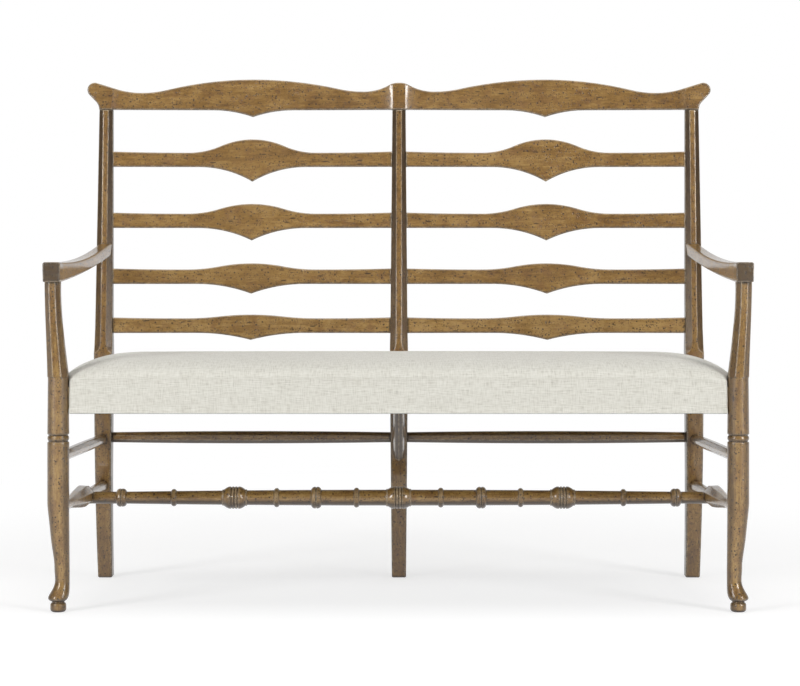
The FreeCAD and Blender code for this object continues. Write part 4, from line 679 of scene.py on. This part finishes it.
def stage_floor():
    """A pale floor that keeps the bench's shadow near it and turns white further out."""
    corners = [(x * FLOOR_REACH, y * FLOOR_REACH, 0) for x, y in ((-1, -1), (1, -1), (1, 1), (-1, 1))]
    mesh = bpy.data.meshes.new("floor")
    mesh.from_pydata(corners, [], [(0, 1, 2, 3)])
    floor = bpy.data.objects.new("floor", mesh)
    bpy.context.collection.objects.link(floor)
    g = Finish("floor")
    away = g.node("ShaderNodeVectorMath", {0: g.here}, operation="LENGTH").outputs["Value"]
    level = g.fit(away, SHADOW_REACH, WHITE_REACH, NEAR_GLOW, 1.0, smooth=True)
    share = g.fit(away, SHADOW_REACH, WHITE_REACH, NEAR_GLOW_SHARE, 1.0, smooth=True)
    rays = g.node("ShaderNodeLightPath").outputs
    seen = g.most(rays["Is Camera Ray"], rays["Is Glossy Ray"])
    lit = g.node("ShaderNodeBsdfDiffuse", {"Color": (FLOOR_GREY, FLOOR_GREY, FLOOR_GREY, 1)})
    glow = g.node("ShaderNodeEmission", {"Color": WHITE, "Strength": level})
    mesh.materials.append(g.finish(g.blend(g.product(seen, share), lit, glow)))


def world_light():
    """A white background, with a softer light that comes from behind the bench."""
    world = bpy.data.worlds.new("studio")
    bpy.context.scene.world = world
    g = Graph(world)
    rays = g.node("ShaderNodeLightPath").outputs
    seen = g.most(rays["Is Camera Ray"], rays["Is Transmission Ray"])
    sky = g.node("ShaderNodeTexCoord").outputs["Generated"]
    way = g.node("ShaderNodeSeparateXYZ", {0: sky})
    level = g.fit(way.outputs["Y"], 0.25, 0.85, 0.17, 0.74, smooth=True)
    dim = g.node("ShaderNodeBackground", {"Color": WHITE, "Strength": level})
    white = g.node("ShaderNodeBackground", {"Color": WHITE, "Strength": 1.0})
    g.finish(g.blend(seen, dim, white), "ShaderNodeOutputWorld")


def area_light(name, place, target, size, power, diffuse=True, glossy=True):
    """A rectangular lamp turned to its target, for diffuse light, for reflections or for both."""
    lamp = bpy.data.lights.new(name, "AREA")
    lamp.shape = "RECTANGLE"
    lamp.size, lamp.size_y = size
    lamp.energy = power
    item = bpy.data.objects.new(name, lamp)
    item.location = place
    item.rotation_euler = (Vector(target) - Vector(place)).to_track_quat("-Z", "Y").to_euler()
    item.visible_diffuse = diffuse
    item.visible_glossy = glossy
    bpy.context.collection.objects.link(item)


def set_lamps():
    """Two side lamps for diffuse light, two strips that only reflect, and a soft one overhead."""
    for side, label in ((-1, "left"), (1, "right")):
        area_light("key_" + label, (side * 3.0, -2.9, 1.7), (0, 0, 0.5), (1.0, 2.4), 78,
                   glossy=False)
        area_light("strip_" + label, (side * 3.0, -2.9, 1.75), (0, 0, 1.75), (0.5, 2.5), 80,
                   diffuse=False)
    area_light("top", (0, -0.4, 3.2), (0, 0, 0.4), (3.2, 1.6), 34)


CAMERA_DISTANCE = 4.6
CAMERA_SIDE = 0.014
CAMERA_HEIGHT = 0.698
LEVEL_VIEW = (math.radians(90), 0, 0)


def set_camera():
    """A level camera in front of the posts, with its picture shifted to take in the whole bench."""
    data = bpy.data.cameras.new("camera")
    data.sensor_width = 36
    data.lens = 107.2
    data.shift_x = -0.0069
    data.shift_y = -0.116
    camera = bpy.data.objects.new("camera", data)
    camera.location = (CAMERA_SIDE, FRONT_POST.y - CAMERA_DISTANCE, CAMERA_HEIGHT)
    camera.rotation_euler = LEVEL_VIEW
    bpy.context.collection.objects.link(camera)
    bpy.context.scene.camera = camera


# The whole scene

dress_nodes()

cushion = build_cushion()
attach(cushion, "root")
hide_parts("seat_cover", "foam_pad")

stage_floor()
world_light()
set_lamps()
set_camera()
bpy.context.scene.view_settings.view_transform = "Standard"
